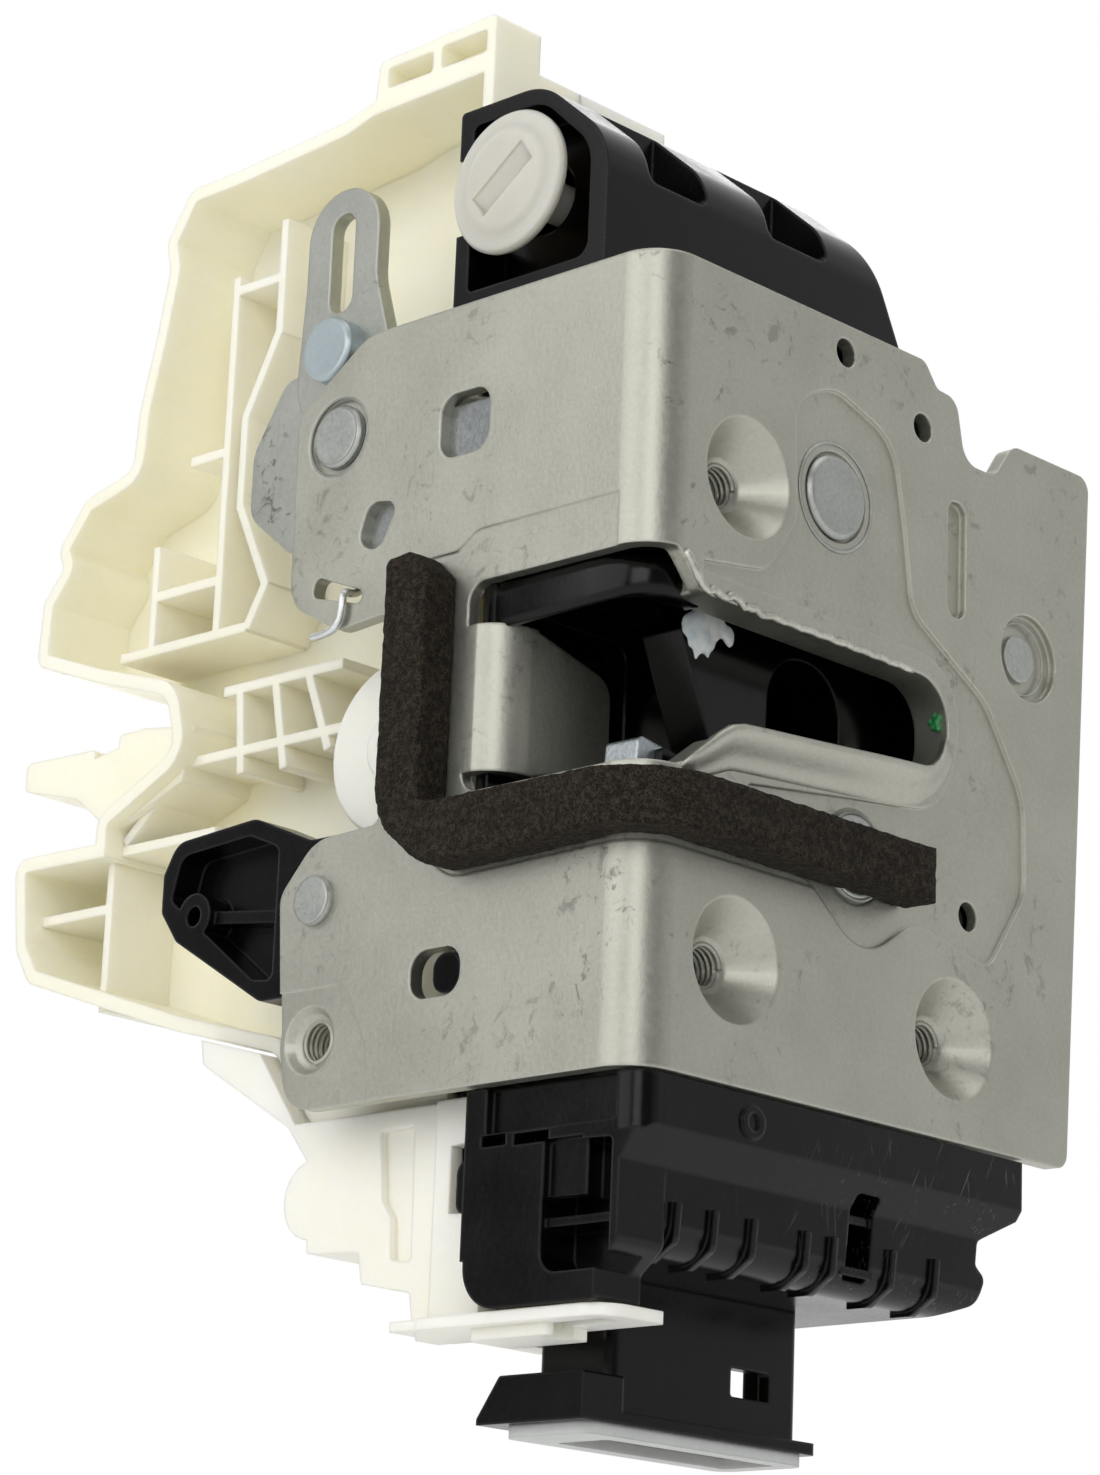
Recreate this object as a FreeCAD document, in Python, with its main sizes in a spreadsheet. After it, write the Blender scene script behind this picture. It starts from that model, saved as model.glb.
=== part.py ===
import FreeCAD, Part
import math
import os
import Sketcher
from FreeCAD import Vector

# Side door latch with its lock actuator, in millimetres.
# +X runs along the face that is bolted to the door's end, +Y runs into the
# door along the side flange, +Z is up. The origin is where the striker bar
# crosses the sharp corner of the steel plate, in the middle of the mouth.

doc = FreeCAD.newDocument("door_latch_actuator")

# Driving dimensions

SIZES = {
    # steel mounting plate
    "sheet": 2.0,
    "bend_radius": 5.5,
    "plate_top": 49.0,
    "plate_bottom": -46.5,
    "plate_right": 81.5,
    "plate_low_right": 77.5,
    "plate_step": 43.0,
    "notch_middle": 59.5,
    "notch_floor": 38.0,
    "flange_reach": 60.0,
    "flange_low_reach": 57.8,
    "flange_ear_foot": 12.0,
    "strip_edge": 42.0,
    "lower_flange_top": -13.6,
    # striker mouth
    "mouth_top": 9.0,
    "mouth_floor": -3.2,
    "mouth_floor_entry": -6.4,
    "mouth_end": 53.5,
    "mouth_end_radius": 5.6,
    "mouth_side_top": 13.5,
    "mouth_side_floor": -11.9,
    "mouth_side_depth": 29.0,
    "mouth_rim": 4.0,
    "guide_tab_reach": 19.0,
    "guide_tab_top": 8.3,
    "guide_tab_floor": -9.5,
    # mounting screws
    "screw_core_radius": 2.5,
    "dimple_radius": 7.3,
    "dimple_depth": 4.5,
    "collar_radius": 4.4,
    "collar_end": 8.6,
    "screw_low_z": -32.3,
    "screw_left_x": 16.0,
    "screw_top_z": 24.8,
    "screw_right_x": 55.3,
    "screw_right_z": -34.3,
    "side_screw_y": 52.2,
    "side_screw_z": -38.2,
    # catch and pawl
    "catch_x": 32.2,
    "catch_z": 27.0,
    "catch_hub": 11.0,
    "catch_front": 9.6,
    "catch_thick": 6.0,
    "catch_core_thick": 4.0,
    "catch_slot_x": 38.0,
    "catch_slot_width": 13.0,
    "catch_sweep": 35.5,
    "pawl_x": 36.8,
    "pawl_z": -15.9,
    "pawl_hub": 6.5,
    "pawl_front": 10.0,
    "pawl_thick": 5.0,
    "pin_radius": 4.0,
    "pin_head_radius": 5.6,
    "pawl_pin_radius": 3.5,
    "pin_clearance": 0.05,
    "moving_gap": 0.4,
    # black latch housing
    "housing_gap": 0.3,
    "housing_back": 26.0,
    "housing_top": 47.5,
    "housing_low_top": 37.0,
    "housing_bottom": -45.0,
    "housing_right": 75.0,
    "chamber_back": 16.6,
    "mouth_channel_back": 22.5,
    "back_plate_thick": 1.5,
    # side levers
    "lever_y": 52.6,
    "lever_z": 36.8,
    "lever_pin_radius": 3.2,
    "lever_sheet": 2.0,
    "release_lever_x": 5.4,
    "inside_lever_x": 7.9,
    "arm_top": 73.0,
    "arm_middle": 59.5,
    "arm_width": 12.6,
    "arm_slot_width": 4.2,
    "rivet_y": 58.5,
    "rivet_z": 50.5,
    "rivet_radius": 4.2,
    # foam seal
    "foam_thick": 5.0,
    "foam_right": 46.0,
    "foam_top": 16.8,
    "foam_left": 38.0,
    "foam_width": 7.0,
    "foam_low_top": -13.8,
    "foam_bed": 0.24,
    # child lock tower and knob
    "tower_front": 3.0,
    "tower_side": 12.5,
    "tower_back": 37.4,
    "tower_top": 76.5,
    "tower_recess_foot": 63.5,
    "tower_end": 62.0,
    "tower_wall": 2.2,
    "tower_foot": 47.8,
    "knob_y": 28.4,
    "knob_z": 65.0,
    "knob_radius": 9.6,
    "knob_stem": 4.5,
    # cream carrier
    "carrier_front": 10.4,
    "carrier_depth": 15.6,
    "carrier_wall": 1.9,
    "carrier_right": 39.0,
    "carrier_top": 87.6,
    "carrier_foot": -45.6,
    "rib_thick": 1.3,
    # rear cover and its gear train
    "cover_back": 42.0,
    "cover_wall": 2.0,
    "box_front": 8.0,
    "box_right": 36.0,
    "box_foot": -72.2,
    "motor_radius": 6.6,
    "motor_y": 60.0,
    "motor_z": 8.0,
    "motor_length": 27.0,
    "worm_radius": 3.2,
    "worm_length": 13.0,
    "wheel_radius": 13.5,
    "wheel_thick": 5.0,
    # black lower housing and connector
    "low_left": 1.5,
    "low_right": 69.5,
    "low_top": -46.8,
    "low_front": 0.6,
    "low_back": 35.0,
    "low_foot": -66.0,
    "low_side_foot": -71.6,
    "socket_left": 18.3,
    "socket_right": 50.7,
    "socket_front": 19.0,
    "socket_back": 30.5,
    "socket_foot": -82.6,
    "socket_wall": 1.8,
    "terminal_width": 1.2,
    "terminal_pitch": 4.0,
    # black side bracket and lock cam
    "bracket_x": 3.0,
    "bracket_depth": 6.0,
    "bracket_wall": 1.6,
    "cam_y": 49.0,
    "cam_z": -1.0,
    "cam_radius": 11.0,
    "cam_x": 7.0,
    "cam_thick": 2.6,
}

sheet = doc.addObject("Spreadsheet::Sheet", "Sizes")
for row, (alias, number) in enumerate(SIZES.items(), 1):
    sheet.set(f"A{row}", alias)
    sheet.set(f"B{row}", str(number))
    sheet.setAlias(f"B{row}", alias)
doc.recompute()


class Size:
    """A length with its number and the sheet expression that it comes from."""

    def __init__(self, number, text=None):
        self.number = float(number)
        self.text = text if text else f"{self.number:.6g}"
        self.bound = text is not None

    def _join(self, other, sign, number):
        other = size(other)
        made = Size(number, f"({self.text} {sign} {other.text})")
        made.bound = self.bound or other.bound
        return made

    def __add__(self, other):
        return self._join(other, "+", self.number + size(other).number)

    def __sub__(self, other):
        return self._join(other, "-", self.number - size(other).number)

    def __mul__(self, other):
        return self._join(other, "*", self.number * size(other).number)

    def __truediv__(self, other):
        return self._join(other, "/", self.number / size(other).number)

    def __radd__(self, other):
        return size(other) + self

    def __rsub__(self, other):
        return size(other) - self

    def __rmul__(self, other):
        return size(other) * self

    def __neg__(self):
        return size(0.0) - self


def size(value):
    return value if isinstance(value, Size) else Size(value)


def named(alias):
    return Size(float(sheet.get(alias)), f"Sizes.{alias}")


# The three ways in which a sketch looks at the part: the plane's role, the
# sign of its offset, and whether a pad must be reversed to grow along +axis.
VIEWS = {
    "front": ("XZ_Plane", -1, True),
    "side": ("YZ_Plane", 1, False),
    "top": ("XY_Plane", 1, False),
}

bodies = []
cuts = []


def body(label):
    made = doc.addObject("PartDesign::Body", label)
    made.Label = label
    bodies.append(made)
    return made


def bind(thing, path, value):
    """Ties one property to the sheet, or sets it when it is a plain number."""
    if value.bound:
        thing.setExpression(path, value.text)
    elif path.startswith("AttachmentOffset"):
        thing.setExpression(path, value.text)
    else:
        setattr(thing, path, value.number)


def new_sketch(owner, role, shift):
    made = owner.newObject("Sketcher::SketchObject", "Sketch")
    plane = [f for f in owner.Origin.OriginFeatures if f.Role == role][0]
    made.AttachmentSupport = [(plane, "")]
    made.MapMode = "FlatFace"
    numbers = [size(s).number for s in shift]
    made.AttachmentOffset = FreeCAD.Placement(Vector(*numbers), FreeCAD.Rotation())
    for axis, value in zip("xyz", shift):
        if size(value).bound:
            made.setExpression(f"AttachmentOffset.Base.{axis}", size(value).text)
    return made


def fitted(points):
    """The same outline, with each rounding kept inside its own two edges."""
    count = len(points)
    spots = [Vector(p[0].number, p[1].number, 0) for p in points]
    reach = []
    for i in range(count):
        corner = (spots[i - 1] - spots[i]).getAngle(spots[(i + 1) % count] - spots[i])
        reach.append(points[i][2].number / math.tan(corner / 2))
    share = [1.0] * count
    for i in range(count):
        after = (i + 1) % count
        room = (spots[after] - spots[i]).Length * 0.98
        if reach[i] + reach[after] > room:
            share[i] = min(share[i], room / (reach[i] + reach[after]))
            share[after] = min(share[after], room / (reach[i] + reach[after]))
    return [(p[0], p[1], p[2] * s if s < 1 else p[2]) for p, s in zip(points, share)]


def corner_data(points):
    """Tangent points of every corner of a closed outline."""
    count = len(points)
    data = []
    for i in range(count):
        here = Vector(points[i][0].number, points[i][1].number, 0)
        before = Vector(points[i - 1][0].number, points[i - 1][1].number, 0)
        after = Vector(points[(i + 1) % count][0].number, points[(i + 1) % count][1].number, 0)
        radius = points[i][2].number
        if radius <= 0:
            data.append((here, here, None, 0.0))
            continue
        back = (before - here).normalize()
        ahead = (after - here).normalize()
        half = back.getAngle(ahead) / 2
        reach = radius / math.tan(half)
        centre = here + (back + ahead).normalize() * (radius / math.sin(half))
        data.append((here + back * reach, here + ahead * reach, centre, radius))
    return data


def draw_outline(sketch, outline, limits):
    """Draws one closed outline of straight edges with rounded corners."""
    points = fitted([(size(p[0]), size(p[1]), size(p[2] if len(p) > 2 else 0)) for p in outline])
    data = corner_data(points)
    count = len(points)
    lines = []
    for i in range(count):
        start = data[i][1]
        end = data[(i + 1) % count][0]
        lines.append(sketch.addGeometry(Part.LineSegment(start, end), False))
    for i in range(count):
        before = lines[i - 1]
        after = lines[i]
        first, last, centre, radius = data[i]
        if radius <= 0:
            limits.append((Sketcher.Constraint("Coincident", before, 2, after, 1), None))
            limits.append((("DistanceX", after, 1, points[i][0].number), points[i][0]))
            limits.append((("DistanceY", after, 1, points[i][1].number), points[i][1]))
            continue
        turn = (first - centre).cross(last - centre).z
        from_angle = math.atan2(first.y - centre.y, first.x - centre.x)
        to_angle = math.atan2(last.y - centre.y, last.x - centre.x)
        circle = Part.Circle(centre, Vector(0, 0, 1), radius)
        if turn > 0:
            arc = sketch.addGeometry(Part.ArcOfCircle(circle, from_angle, to_angle), False)
            ends = (1, 2)
        else:
            arc = sketch.addGeometry(Part.ArcOfCircle(circle, to_angle, from_angle), False)
            ends = (2, 1)
        limits.append((Sketcher.Constraint("Tangent", before, 2, arc, ends[0]), None))
        limits.append((Sketcher.Constraint("Tangent", after, 1, arc, ends[1]), None))
        limits.append((("Radius", arc, None, radius), points[i][2]))
        corner = Vector(points[i][0].number, points[i][1].number, 0)
        mark = sketch.addGeometry(Part.Point(corner), True)
        limits.append((Sketcher.Constraint("PointOnObject", mark, 1, before), None))
        limits.append((Sketcher.Constraint("PointOnObject", mark, 1, after), None))
        limits.append((("DistanceX", mark, 1, points[i][0].number), points[i][0]))
        limits.append((("DistanceY", mark, 1, points[i][1].number), points[i][1]))


def draw_circle(sketch, circle, limits):
    across, up, radius = [size(v) for v in circle]
    centre = Vector(across.number, up.number, 0)
    ring = sketch.addGeometry(Part.Circle(centre, Vector(0, 0, 1), radius.number), False)
    limits.append((("Radius", ring, None, radius.number), radius))
    limits.append((("DistanceX", ring, 3, across.number), across))
    limits.append((("DistanceY", ring, 3, up.number), up))


def fill_sketch(sketch, shapes):
    limits = []
    for shape in shapes:
        if isinstance(shape, tuple):
            draw_circle(sketch, shape, limits)
        else:
            draw_outline(sketch, shape, limits)
    made = []
    for limit, value in limits:
        if isinstance(limit, tuple):
            kind, geometry, spot, number = limit
            if kind == "Radius":
                limit = Sketcher.Constraint(kind, geometry, number)
            else:
                limit = Sketcher.Constraint(kind, -1, 1, geometry, spot, number)
        made.append(limit)
    first = len(sketch.Constraints)
    sketch.addConstraint(made)
    for i, (limit, value) in enumerate(limits):
        if value is not None and value.bound:
            sketch.setExpression(f"Constraints[{first + i}]", value.text)


def section(owner, view, start, shapes):
    role, sign, _ = VIEWS[view]
    sketch = new_sketch(owner, role, (0, 0, size(start) * sign))
    fill_sketch(sketch, shapes)
    return sketch


def add(owner, view, start, depth, shapes):
    """Grows a pad from start along the view's axis."""
    pad = owner.newObject("PartDesign::Pad", "Pad")
    pad.Profile = section(owner, view, start, shapes)
    pad.Reversed = VIEWS[view][2]
    bind(pad, "Length", size(depth))
    return pad


def cut(owner, view, start, depth, shapes):
    """Removes a pocket from start along the view's axis."""
    before = owner.Tip
    pocket = owner.newObject("PartDesign::Pocket", "Pocket")
    pocket.Profile = section(owner, view, start, shapes)
    pocket.Reversed = not VIEWS[view][2]
    bind(pocket, "Length", size(depth))
    cuts.append((owner.Label, before, pocket))
    return pocket


# Where a turned profile is drawn for each axis: the sketch's plane, the
# sketch axis that it turns about, and whether the radius comes first.
AXES = {
    "front": ("XY_Plane", "V_Axis", True),
    "side": ("XY_Plane", "H_Axis", False),
    "top": ("XZ_Plane", "V_Axis", True),
}


def turned(owner, view, centre, profile, remove=False):
    """Turns a profile of (radius, depth) about an axis through centre."""
    role, axis, radius_first = AXES[view]
    across, up = centre
    shift = {
        "front": (across, 0, up),
        "side": (0, across, up),
        "top": (across, 0, -size(up)),
    }[view]
    before = owner.Tip
    sketch = new_sketch(owner, role, shift)
    points = []
    for corner in profile:
        radius, depth = corner[0], corner[1]
        rounding = corner[2] if len(corner) > 2 else 0
        points.append((radius, depth, rounding) if radius_first else (depth, radius, rounding))
    fill_sketch(sketch, [points])
    kind = "PartDesign::Groove" if remove else "PartDesign::Revolution"
    made = owner.newObject(kind, "Turned")
    made.Profile = sketch
    made.ReferenceAxis = (sketch, [axis])
    made.Angle = 360
    if remove:
        cuts.append((owner.Label, before, made))
    return made


def box(left, low, right, high, radius=0):
    return [(left, low, radius), (right, low, radius), (right, high, radius), (left, high, radius)]


def inset(outline, wall):
    """The same outline moved inwards by a wall's thickness."""
    points = [(size(p[0]), size(p[1]), size(p[2] if len(p) > 2 else 0)) for p in outline]
    count = len(points)
    area = 0.0
    for i in range(count):
        after = points[(i + 1) % count]
        area += points[i][0].number * after[1].number - after[0].number * points[i][1].number
    inward = 1 if area > 0 else -1
    made = []
    for i in range(count):
        here, before, after = points[i], points[i - 1], points[(i + 1) % count]
        first = Vector(here[0].number - before[0].number, here[1].number - before[1].number, 0)
        second = Vector(after[0].number - here[0].number, after[1].number - here[1].number, 0)
        first.normalize()
        second.normalize()
        normal_a = Vector(-first.y, first.x, 0) * inward
        normal_b = Vector(-second.y, second.x, 0) * inward
        share = (normal_a + normal_b) * (1 / (1 + normal_a.dot(normal_b)))
        convex = first.cross(second).z * inward > 0
        radius = here[2].number - wall.number if convex else here[2].number + wall.number
        radius = max(radius, 0.5) if here[2].number > 0 else 0
        made.append((here[0] + wall * share.x, here[1] + wall * share.y, radius))
    return made


# Named values used by several pieces

sheet_thick = named("sheet")
bend = named("bend_radius")
plate_top = named("plate_top")
plate_bottom = named("plate_bottom")
catch_x = named("catch_x")
catch_z = named("catch_z")
pawl_x = named("pawl_x")
pawl_z = named("pawl_z")
pin_radius = named("pin_radius")
pawl_pin_radius = named("pawl_pin_radius")
running = named("pin_clearance")
gap = named("housing_gap")
moving_gap = named("moving_gap")
lever_y = named("lever_y")
lever_z = named("lever_z")
lever_pin_radius = named("lever_pin_radius")
mouth_top = named("mouth_top")
mouth_floor = named("mouth_floor")
mouth_entry = named("mouth_floor_entry")
mouth_end = named("mouth_end")
side_top = named("mouth_side_top")
side_floor = named("mouth_side_floor")
side_depth = named("mouth_side_depth")
housing_back = named("housing_back")
housing_left = sheet_thick + gap
carrier_front = named("carrier_front")
carrier_back = carrier_front + named("carrier_depth")

# Screw places on the plate, and the one on the flange
PLATE_SCREWS = [
    (named("screw_left_x"), named("screw_top_z")),
    (named("screw_left_x"), named("screw_low_z")),
    (named("screw_right_x"), named("screw_right_z")),
]
SIDE_SCREW = (named("side_screw_y"), named("side_screw_z"))

# Steel mounting plate
# One folded sheet: the face that meets the door's end, the bend, and the
# side flange, with the striker mouth cut through all three.

plate = body("latch_plate")
notch_x = named("notch_middle")
plate_step = named("plate_step")
plate_right = named("plate_right")
add(plate, "front", 0, sheet_thick, [[
    (bend, plate_top), (notch_x - 11.5, plate_top, 2), (notch_x - 9, plate_step + 3, 1.5),
    (notch_x - 5.2, plate_step + 2.8, 2.5), (notch_x - 3.4, named("notch_floor"), 3),
    (notch_x + 2.6, named("notch_floor"), 3), (notch_x + 6, plate_step, 3),
    (plate_right, plate_step, 2), (named("plate_low_right"), plate_bottom, 2),
    (bend, plate_bottom),
]])
flange_reach = named("flange_reach")
ear_foot = named("flange_ear_foot")
strip_edge = named("strip_edge")
low_flange_top = named("lower_flange_top")
low_reach = named("flange_low_reach")
add(plate, "side", 0, sheet_thick, [[
    (bend, plate_top), (flange_reach - 12, plate_top, 7), (flange_reach, plate_top - 8, 4),
    (flange_reach - 0.4, ear_foot + 4.5, 5), (flange_reach - 9, ear_foot - 0.2, 4),
    (strip_edge, ear_foot + 0.5, 1.5), (strip_edge, low_flange_top, 1.5),
    (low_reach - 5, low_flange_top - 0.4, 6), (low_reach + 0.6, low_flange_top - 6.5, 3),
    (low_reach - 1.6, plate_bottom, 5), (bend, plate_bottom),
]])
lap = size(1.0)
bend_block = [(0, bend + lap), (0, 0, bend), (bend + lap, 0), (bend + lap, sheet_thick),
              (sheet_thick, sheet_thick, bend - sheet_thick), (sheet_thick, bend + lap)]
add(plate, "top", plate_bottom, plate_top - plate_bottom, [bend_block])

# Rim of the mouth, drawn inwards, and the raised lip under it
rim = named("mouth_rim")
rim_wall = sheet_thick * 0.9
add(plate, "front", sheet_thick, rim - sheet_thick + 1.2, [[
    (bend + 3, mouth_top + rim_wall), (mouth_end + rim_wall, mouth_top + rim_wall, 7.2),
    (mouth_end + rim_wall, mouth_floor - rim_wall, 7.2), (bend + 9, mouth_entry - rim_wall, 1),
    (bend + 3, mouth_entry - rim_wall - 4),
]])
mouth = [
    (-1.0, side_top), (bend - 1, side_top, 1.5), (bend + 3.2, mouth_top, 2), (mouth_end, mouth_top, 5.6),
    (mouth_end, mouth_floor, 5.6), (bend + 8.5, mouth_entry, 2.5), (bend + 1.2, side_floor, 1), (-1.0, side_floor),
]
cut(plate, "front", -1, rim + sheet_thick + 3, [mouth])
cut(plate, "side", -1, sheet_thick + 1.5, [[
    (-1.0, side_floor), (side_depth, side_floor, 2.5), (side_depth, side_top, 2.5), (-1.0, side_top),
]])

# Lip below the mouth, pressed outwards
lip = size(1.2)
add(plate, "front", -lip, lip + sheet_thick * 0.5, [[
    (19.5, mouth_entry + 0.42, 0.4), (mouth_end - 6, mouth_floor - 0.5, 0.4), (mouth_end - 7.5, mouth_floor - 2.4, 0.6),
    (21.5, mouth_entry - 1.3, 0.6),
]])

# Guide tab folded inwards at the far edge of the mouth
tab_top = named("guide_tab_top")
tab_floor = named("guide_tab_floor")
tab_back = side_depth - bend
add(plate, "top", tab_floor, tab_top - tab_floor, [[
    (0, side_depth + lap), (0, tab_back, bend), (bend + lap, tab_back), (bend + lap, tab_back + sheet_thick),
    (sheet_thick, tab_back + sheet_thick, bend - sheet_thick), (sheet_thick, side_depth + lap),
]])
add(plate, "front", tab_back, sheet_thick, [[
    (bend, tab_floor), (named("guide_tab_reach"), tab_floor + 3, 3),
    (named("guide_tab_reach"), tab_top - 3.5, 3), (bend, tab_top),
]])

# Screw seats: a cone pressed inwards that ends in a threaded collar
core = named("screw_core_radius")
dimple = named("dimple_radius")
dimple_depth = named("dimple_depth")
collar = named("collar_radius")
collar_end = named("collar_end")
seat = [(0, 1), (dimple + 1.2, 1), (dimple + 1.2, sheet_thick, 0.5), (collar + 0.6, dimple_depth + 1, 0.5),
        (collar, dimple_depth + 1.5), (collar, collar_end), (0, collar_end)]
hollow = [(0, -1), (dimple, -1), (dimple, 0), (core + 0.8, dimple_depth), (core, dimple_depth + 0.4),
          (core, collar_end + 1), (0, collar_end + 1)]
for centre in PLATE_SCREWS:
    turned(plate, "front", centre, seat)
    turned(plate, "front", centre, hollow, remove=True)
side_seat = [(0, 1), (collar + 1.4, 1), (collar + 1.2, sheet_thick), (collar, sheet_thick + 1), (collar, 6), (0, 6)]
side_hollow = [(0, -1), (collar, -1), (collar, 0), (core + 0.8, 1.2), (core, 1.6), (core, 7), (0, 7)]
turned(plate, "side", SIDE_SCREW, side_seat)
turned(plate, "side", SIDE_SCREW, side_hollow, remove=True)

# Pressed pad round the catch and pawl pivots, a millimetre deep
pad_edge = [
    (8.6, 12.9), (20, 14.6, 5), (24.8, 22, 4), (24, 37.5, 6), (31.5, 40.4, 6), (42.5, 37, 7), (45, 26, 6),
    (46.5, 16.5, 5), (61, 8.5, 9), (68.6, -2, 9), (69, -14, 7), (62, -24.5, 3), (48, -21.5, 6), (38, -28, 7),
    (27.5, -19.8, 5), (17, -20.2, 1), (17, -11.5, 1), (mouth_end, mouth_floor - rim_wall - 2, 8),
    (mouth_end + rim_wall + 2, mouth_top + rim_wall + 1, 8), (8.6, mouth_top + rim_wall + 1),
]
cut(plate, "front", -0.01, sheet_thick * 0.25, [pad_edge])

# Shallow bed that the foam seal lies in, over the flange, the bend and the face
foam_left = named("foam_left")
foam_right = named("foam_right")
foam_width = named("foam_width")
foam_low_top = named("foam_low_top")
foam_bed = named("foam_bed")
cut(plate, "side", -0.01, foam_bed + 0.01, [[
    (bend, side_top + 6.5), (side_depth - 1, side_top + 6.4, 3), (side_depth + 2.3, side_top + 4.3, 1),
    (foam_left + 0.35, side_top + 4.3), (foam_left + 0.35, foam_low_top - 1.7, 7), (foam_left - 8, foam_low_top - foam_width - 1, 6),
    (bend, foam_low_top - foam_width - 0.4),
]])
cut(plate, "top", foam_low_top - foam_width - 0.4, foam_width + 0.7, [[
    (-1, bend + lap), (-1, -1, bend + 1), (foam_right + 0.35, -1), (foam_right + 0.35, foam_bed),
    (foam_bed, foam_bed, bend - foam_bed), (foam_bed, bend + lap),
]])

# Coined seat round the side screw
coin = sheet_thick * 0.15
side_y, side_z = SIDE_SCREW
cut(plate, "side", -0.01, coin, [[
    (side_y + 8, side_z + 6.2), (side_y - 5.7, side_z + 6.0, 3), (side_y - 9.6, side_z - 1.8), (side_y - 10.4, side_z - 10),
    (side_y + 8, side_z - 10),
]])

# Pivot holes, recesses and small holes of the plate
cut(plate, "front", -1, sheet_thick + 2, [(catch_x, catch_z, pin_radius + running)])
cut(plate, "front", -1, sheet_thick + 2, [(pawl_x, pawl_z, pawl_pin_radius + running)])
cut(plate, "front", -1, sheet_thick + 2, [(33.0, 45.4, 1.8), (47.8, 40.2, 1.8), (58.3, -18.8, 1.8)])
cut(plate, "front", -0.01, sheet_thick * 0.5, [box(52.9, 17.7, 56.5, 32.5, 1.6), (69.2, 16.1, 5.5)])
turned(plate, "front", (catch_x, catch_z),
       [(pin_radius, -0.6), (pin_radius + 1.8, -0.6), (pin_radius + 1.5, 0.9), (pin_radius, 0.9)], remove=True)
turned(plate, "front", (pawl_x, pawl_z),
       [(pawl_pin_radius, -0.6), (pawl_pin_radius + 2.4, -0.6), (pawl_pin_radius + 2.2, 0.7), (pawl_pin_radius, 0.7)],
       remove=True)

# Holes of the flange
cut(plate, "side", -1, sheet_thick + 2, [
    box(26.7, 29.8, 34.9, 37.9, 2.5), box(27.5, -35.6, 35.6, -29.8, 2.5),
    (lever_y, lever_z, lever_pin_radius + running), (52.1, -21.5, 2.6),
])
cut(plate, "side", -1, sheet_thick + 2, [[(41.3, 26.3, 1.5), (44.5, 20.3, 2), (48.3, 22.2, 2), (46.5, 27.2, 2)]])
cut(plate, "side", -1, sheet_thick + 2, [[(46.5, 14.2, 0.8), (47.2, 16.2, 0.8), (55.2, 19.4, 1), (55.8, 16.8, 1)]])
turned(plate, "side", (lever_y, lever_z),
       [(lever_pin_radius, -0.6), (lever_pin_radius + 2, -0.6), (lever_pin_radius + 1.8, 0.7), (lever_pin_radius, 0.7)],
       remove=True)

# Catch: steel core in a moulded cover, turning on its rivet

catch_front = named("catch_front")
catch_thick = named("catch_thick")
slot_x = named("catch_slot_x")
slot_half = named("catch_slot_width") / 2
slot_crown = mouth_top + 0.6
hub = named("catch_hub")
catch_outline = [
    (catch_x - hub, catch_z + hub, hub * 0.98), (catch_x + hub, catch_z + hub, hub * 0.98),
    (slot_x + slot_half + 6.6, catch_z - 13, 5), (slot_x + slot_half + 6.2, mouth_floor + 1.6, 2.4),
    (slot_x + slot_half, mouth_floor + 2.2, 1.6), (slot_x + slot_half, slot_crown, slot_half * 0.95),
    (slot_x - slot_half, slot_crown, slot_half * 0.95), (slot_x - slot_half - 0.5, -3.0, 1),
    (27.0, -6.9, 1.2), (22.3, -6.3, 1.0), (15.6, 8.4, 0.6), (19.2, 12.2, 2),
]
core_outline = inset(catch_outline, size(1.4))
catch_cover = body("catch_cover")
add(catch_cover, "front", catch_front, catch_thick, [catch_outline])
cut(catch_cover, "front", catch_front + catch_thick - named("catch_core_thick"), catch_thick, [core_outline])
cut(catch_cover, "front", catch_front - 1, catch_thick + 2, [(catch_x, catch_z, pin_radius + running)])
catch = body("catch")
add(catch, "front", catch_front + catch_thick - named("catch_core_thick"), named("catch_core_thick"), [core_outline])
cut(catch, "front", catch_front - 1, catch_thick + 2, [(catch_x, catch_z, pin_radius + running)])

# Pawl: steel lever with a moulded sleeve, below the mouth

pawl_front = named("pawl_front")
pawl_thick = named("pawl_thick")
pawl_hub = named("pawl_hub")
pawl = body("pawl")
pawl_outline = [
    (pawl_x + pawl_hub, pawl_z + pawl_hub, pawl_hub * 0.95), (30.0, -9.8, 3), (20.6, -7.6, 2), (9.6, -5.8, 0.8),
    (9.2, -10.6, 0.8), (24, -17.5, 3), (pawl_x - 3, pawl_z - pawl_hub, 4),
    (pawl_x + pawl_hub, pawl_z - pawl_hub, pawl_hub * 0.95),
]
add(pawl, "front", pawl_front, pawl_thick, [pawl_outline])
cut(pawl, "front", pawl_front - 1, pawl_thick + 2, [(pawl_x, pawl_z, pawl_pin_radius + running)])
pawl_cover = body("pawl_cover")
add(pawl_cover, "front", pawl_front - 1.1, 1.1, [[
    (12.4, -6.7, 0.6), (20.4, -8.2, 1), (29, -11.4, 2), (28, -16.6, 2), (22, -15.6, 1), (12.2, -11.0, 0.6),
]])

# Rivets: each has a formed head in front of the plate and one behind the back plate

plate_back = housing_back + gap + named("back_plate_thick")


def pivot_rivet(label, centre, radius, head, back, proud):
    made = body(label)
    turned(made, "front", centre, [
        (0, -proud), (head - 0.5, -proud, 0.3), (head, 0.5 - proud), (head, 0.65), (radius, 0.65),
        (radius, back), (radius + 1.4, back), (radius + 1.0, back + 1.2), (0, back + 1.2),
    ])
    return made


pivot_rivet("catch_pin", (catch_x, catch_z), pin_radius, pin_radius + 1.2, plate_back, size(0.0))
pivot_rivet("pawl_pin", (pawl_x, pawl_z), pawl_pin_radius, pawl_pin_radius + 1.8, plate_back, size(-0.1))

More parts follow.
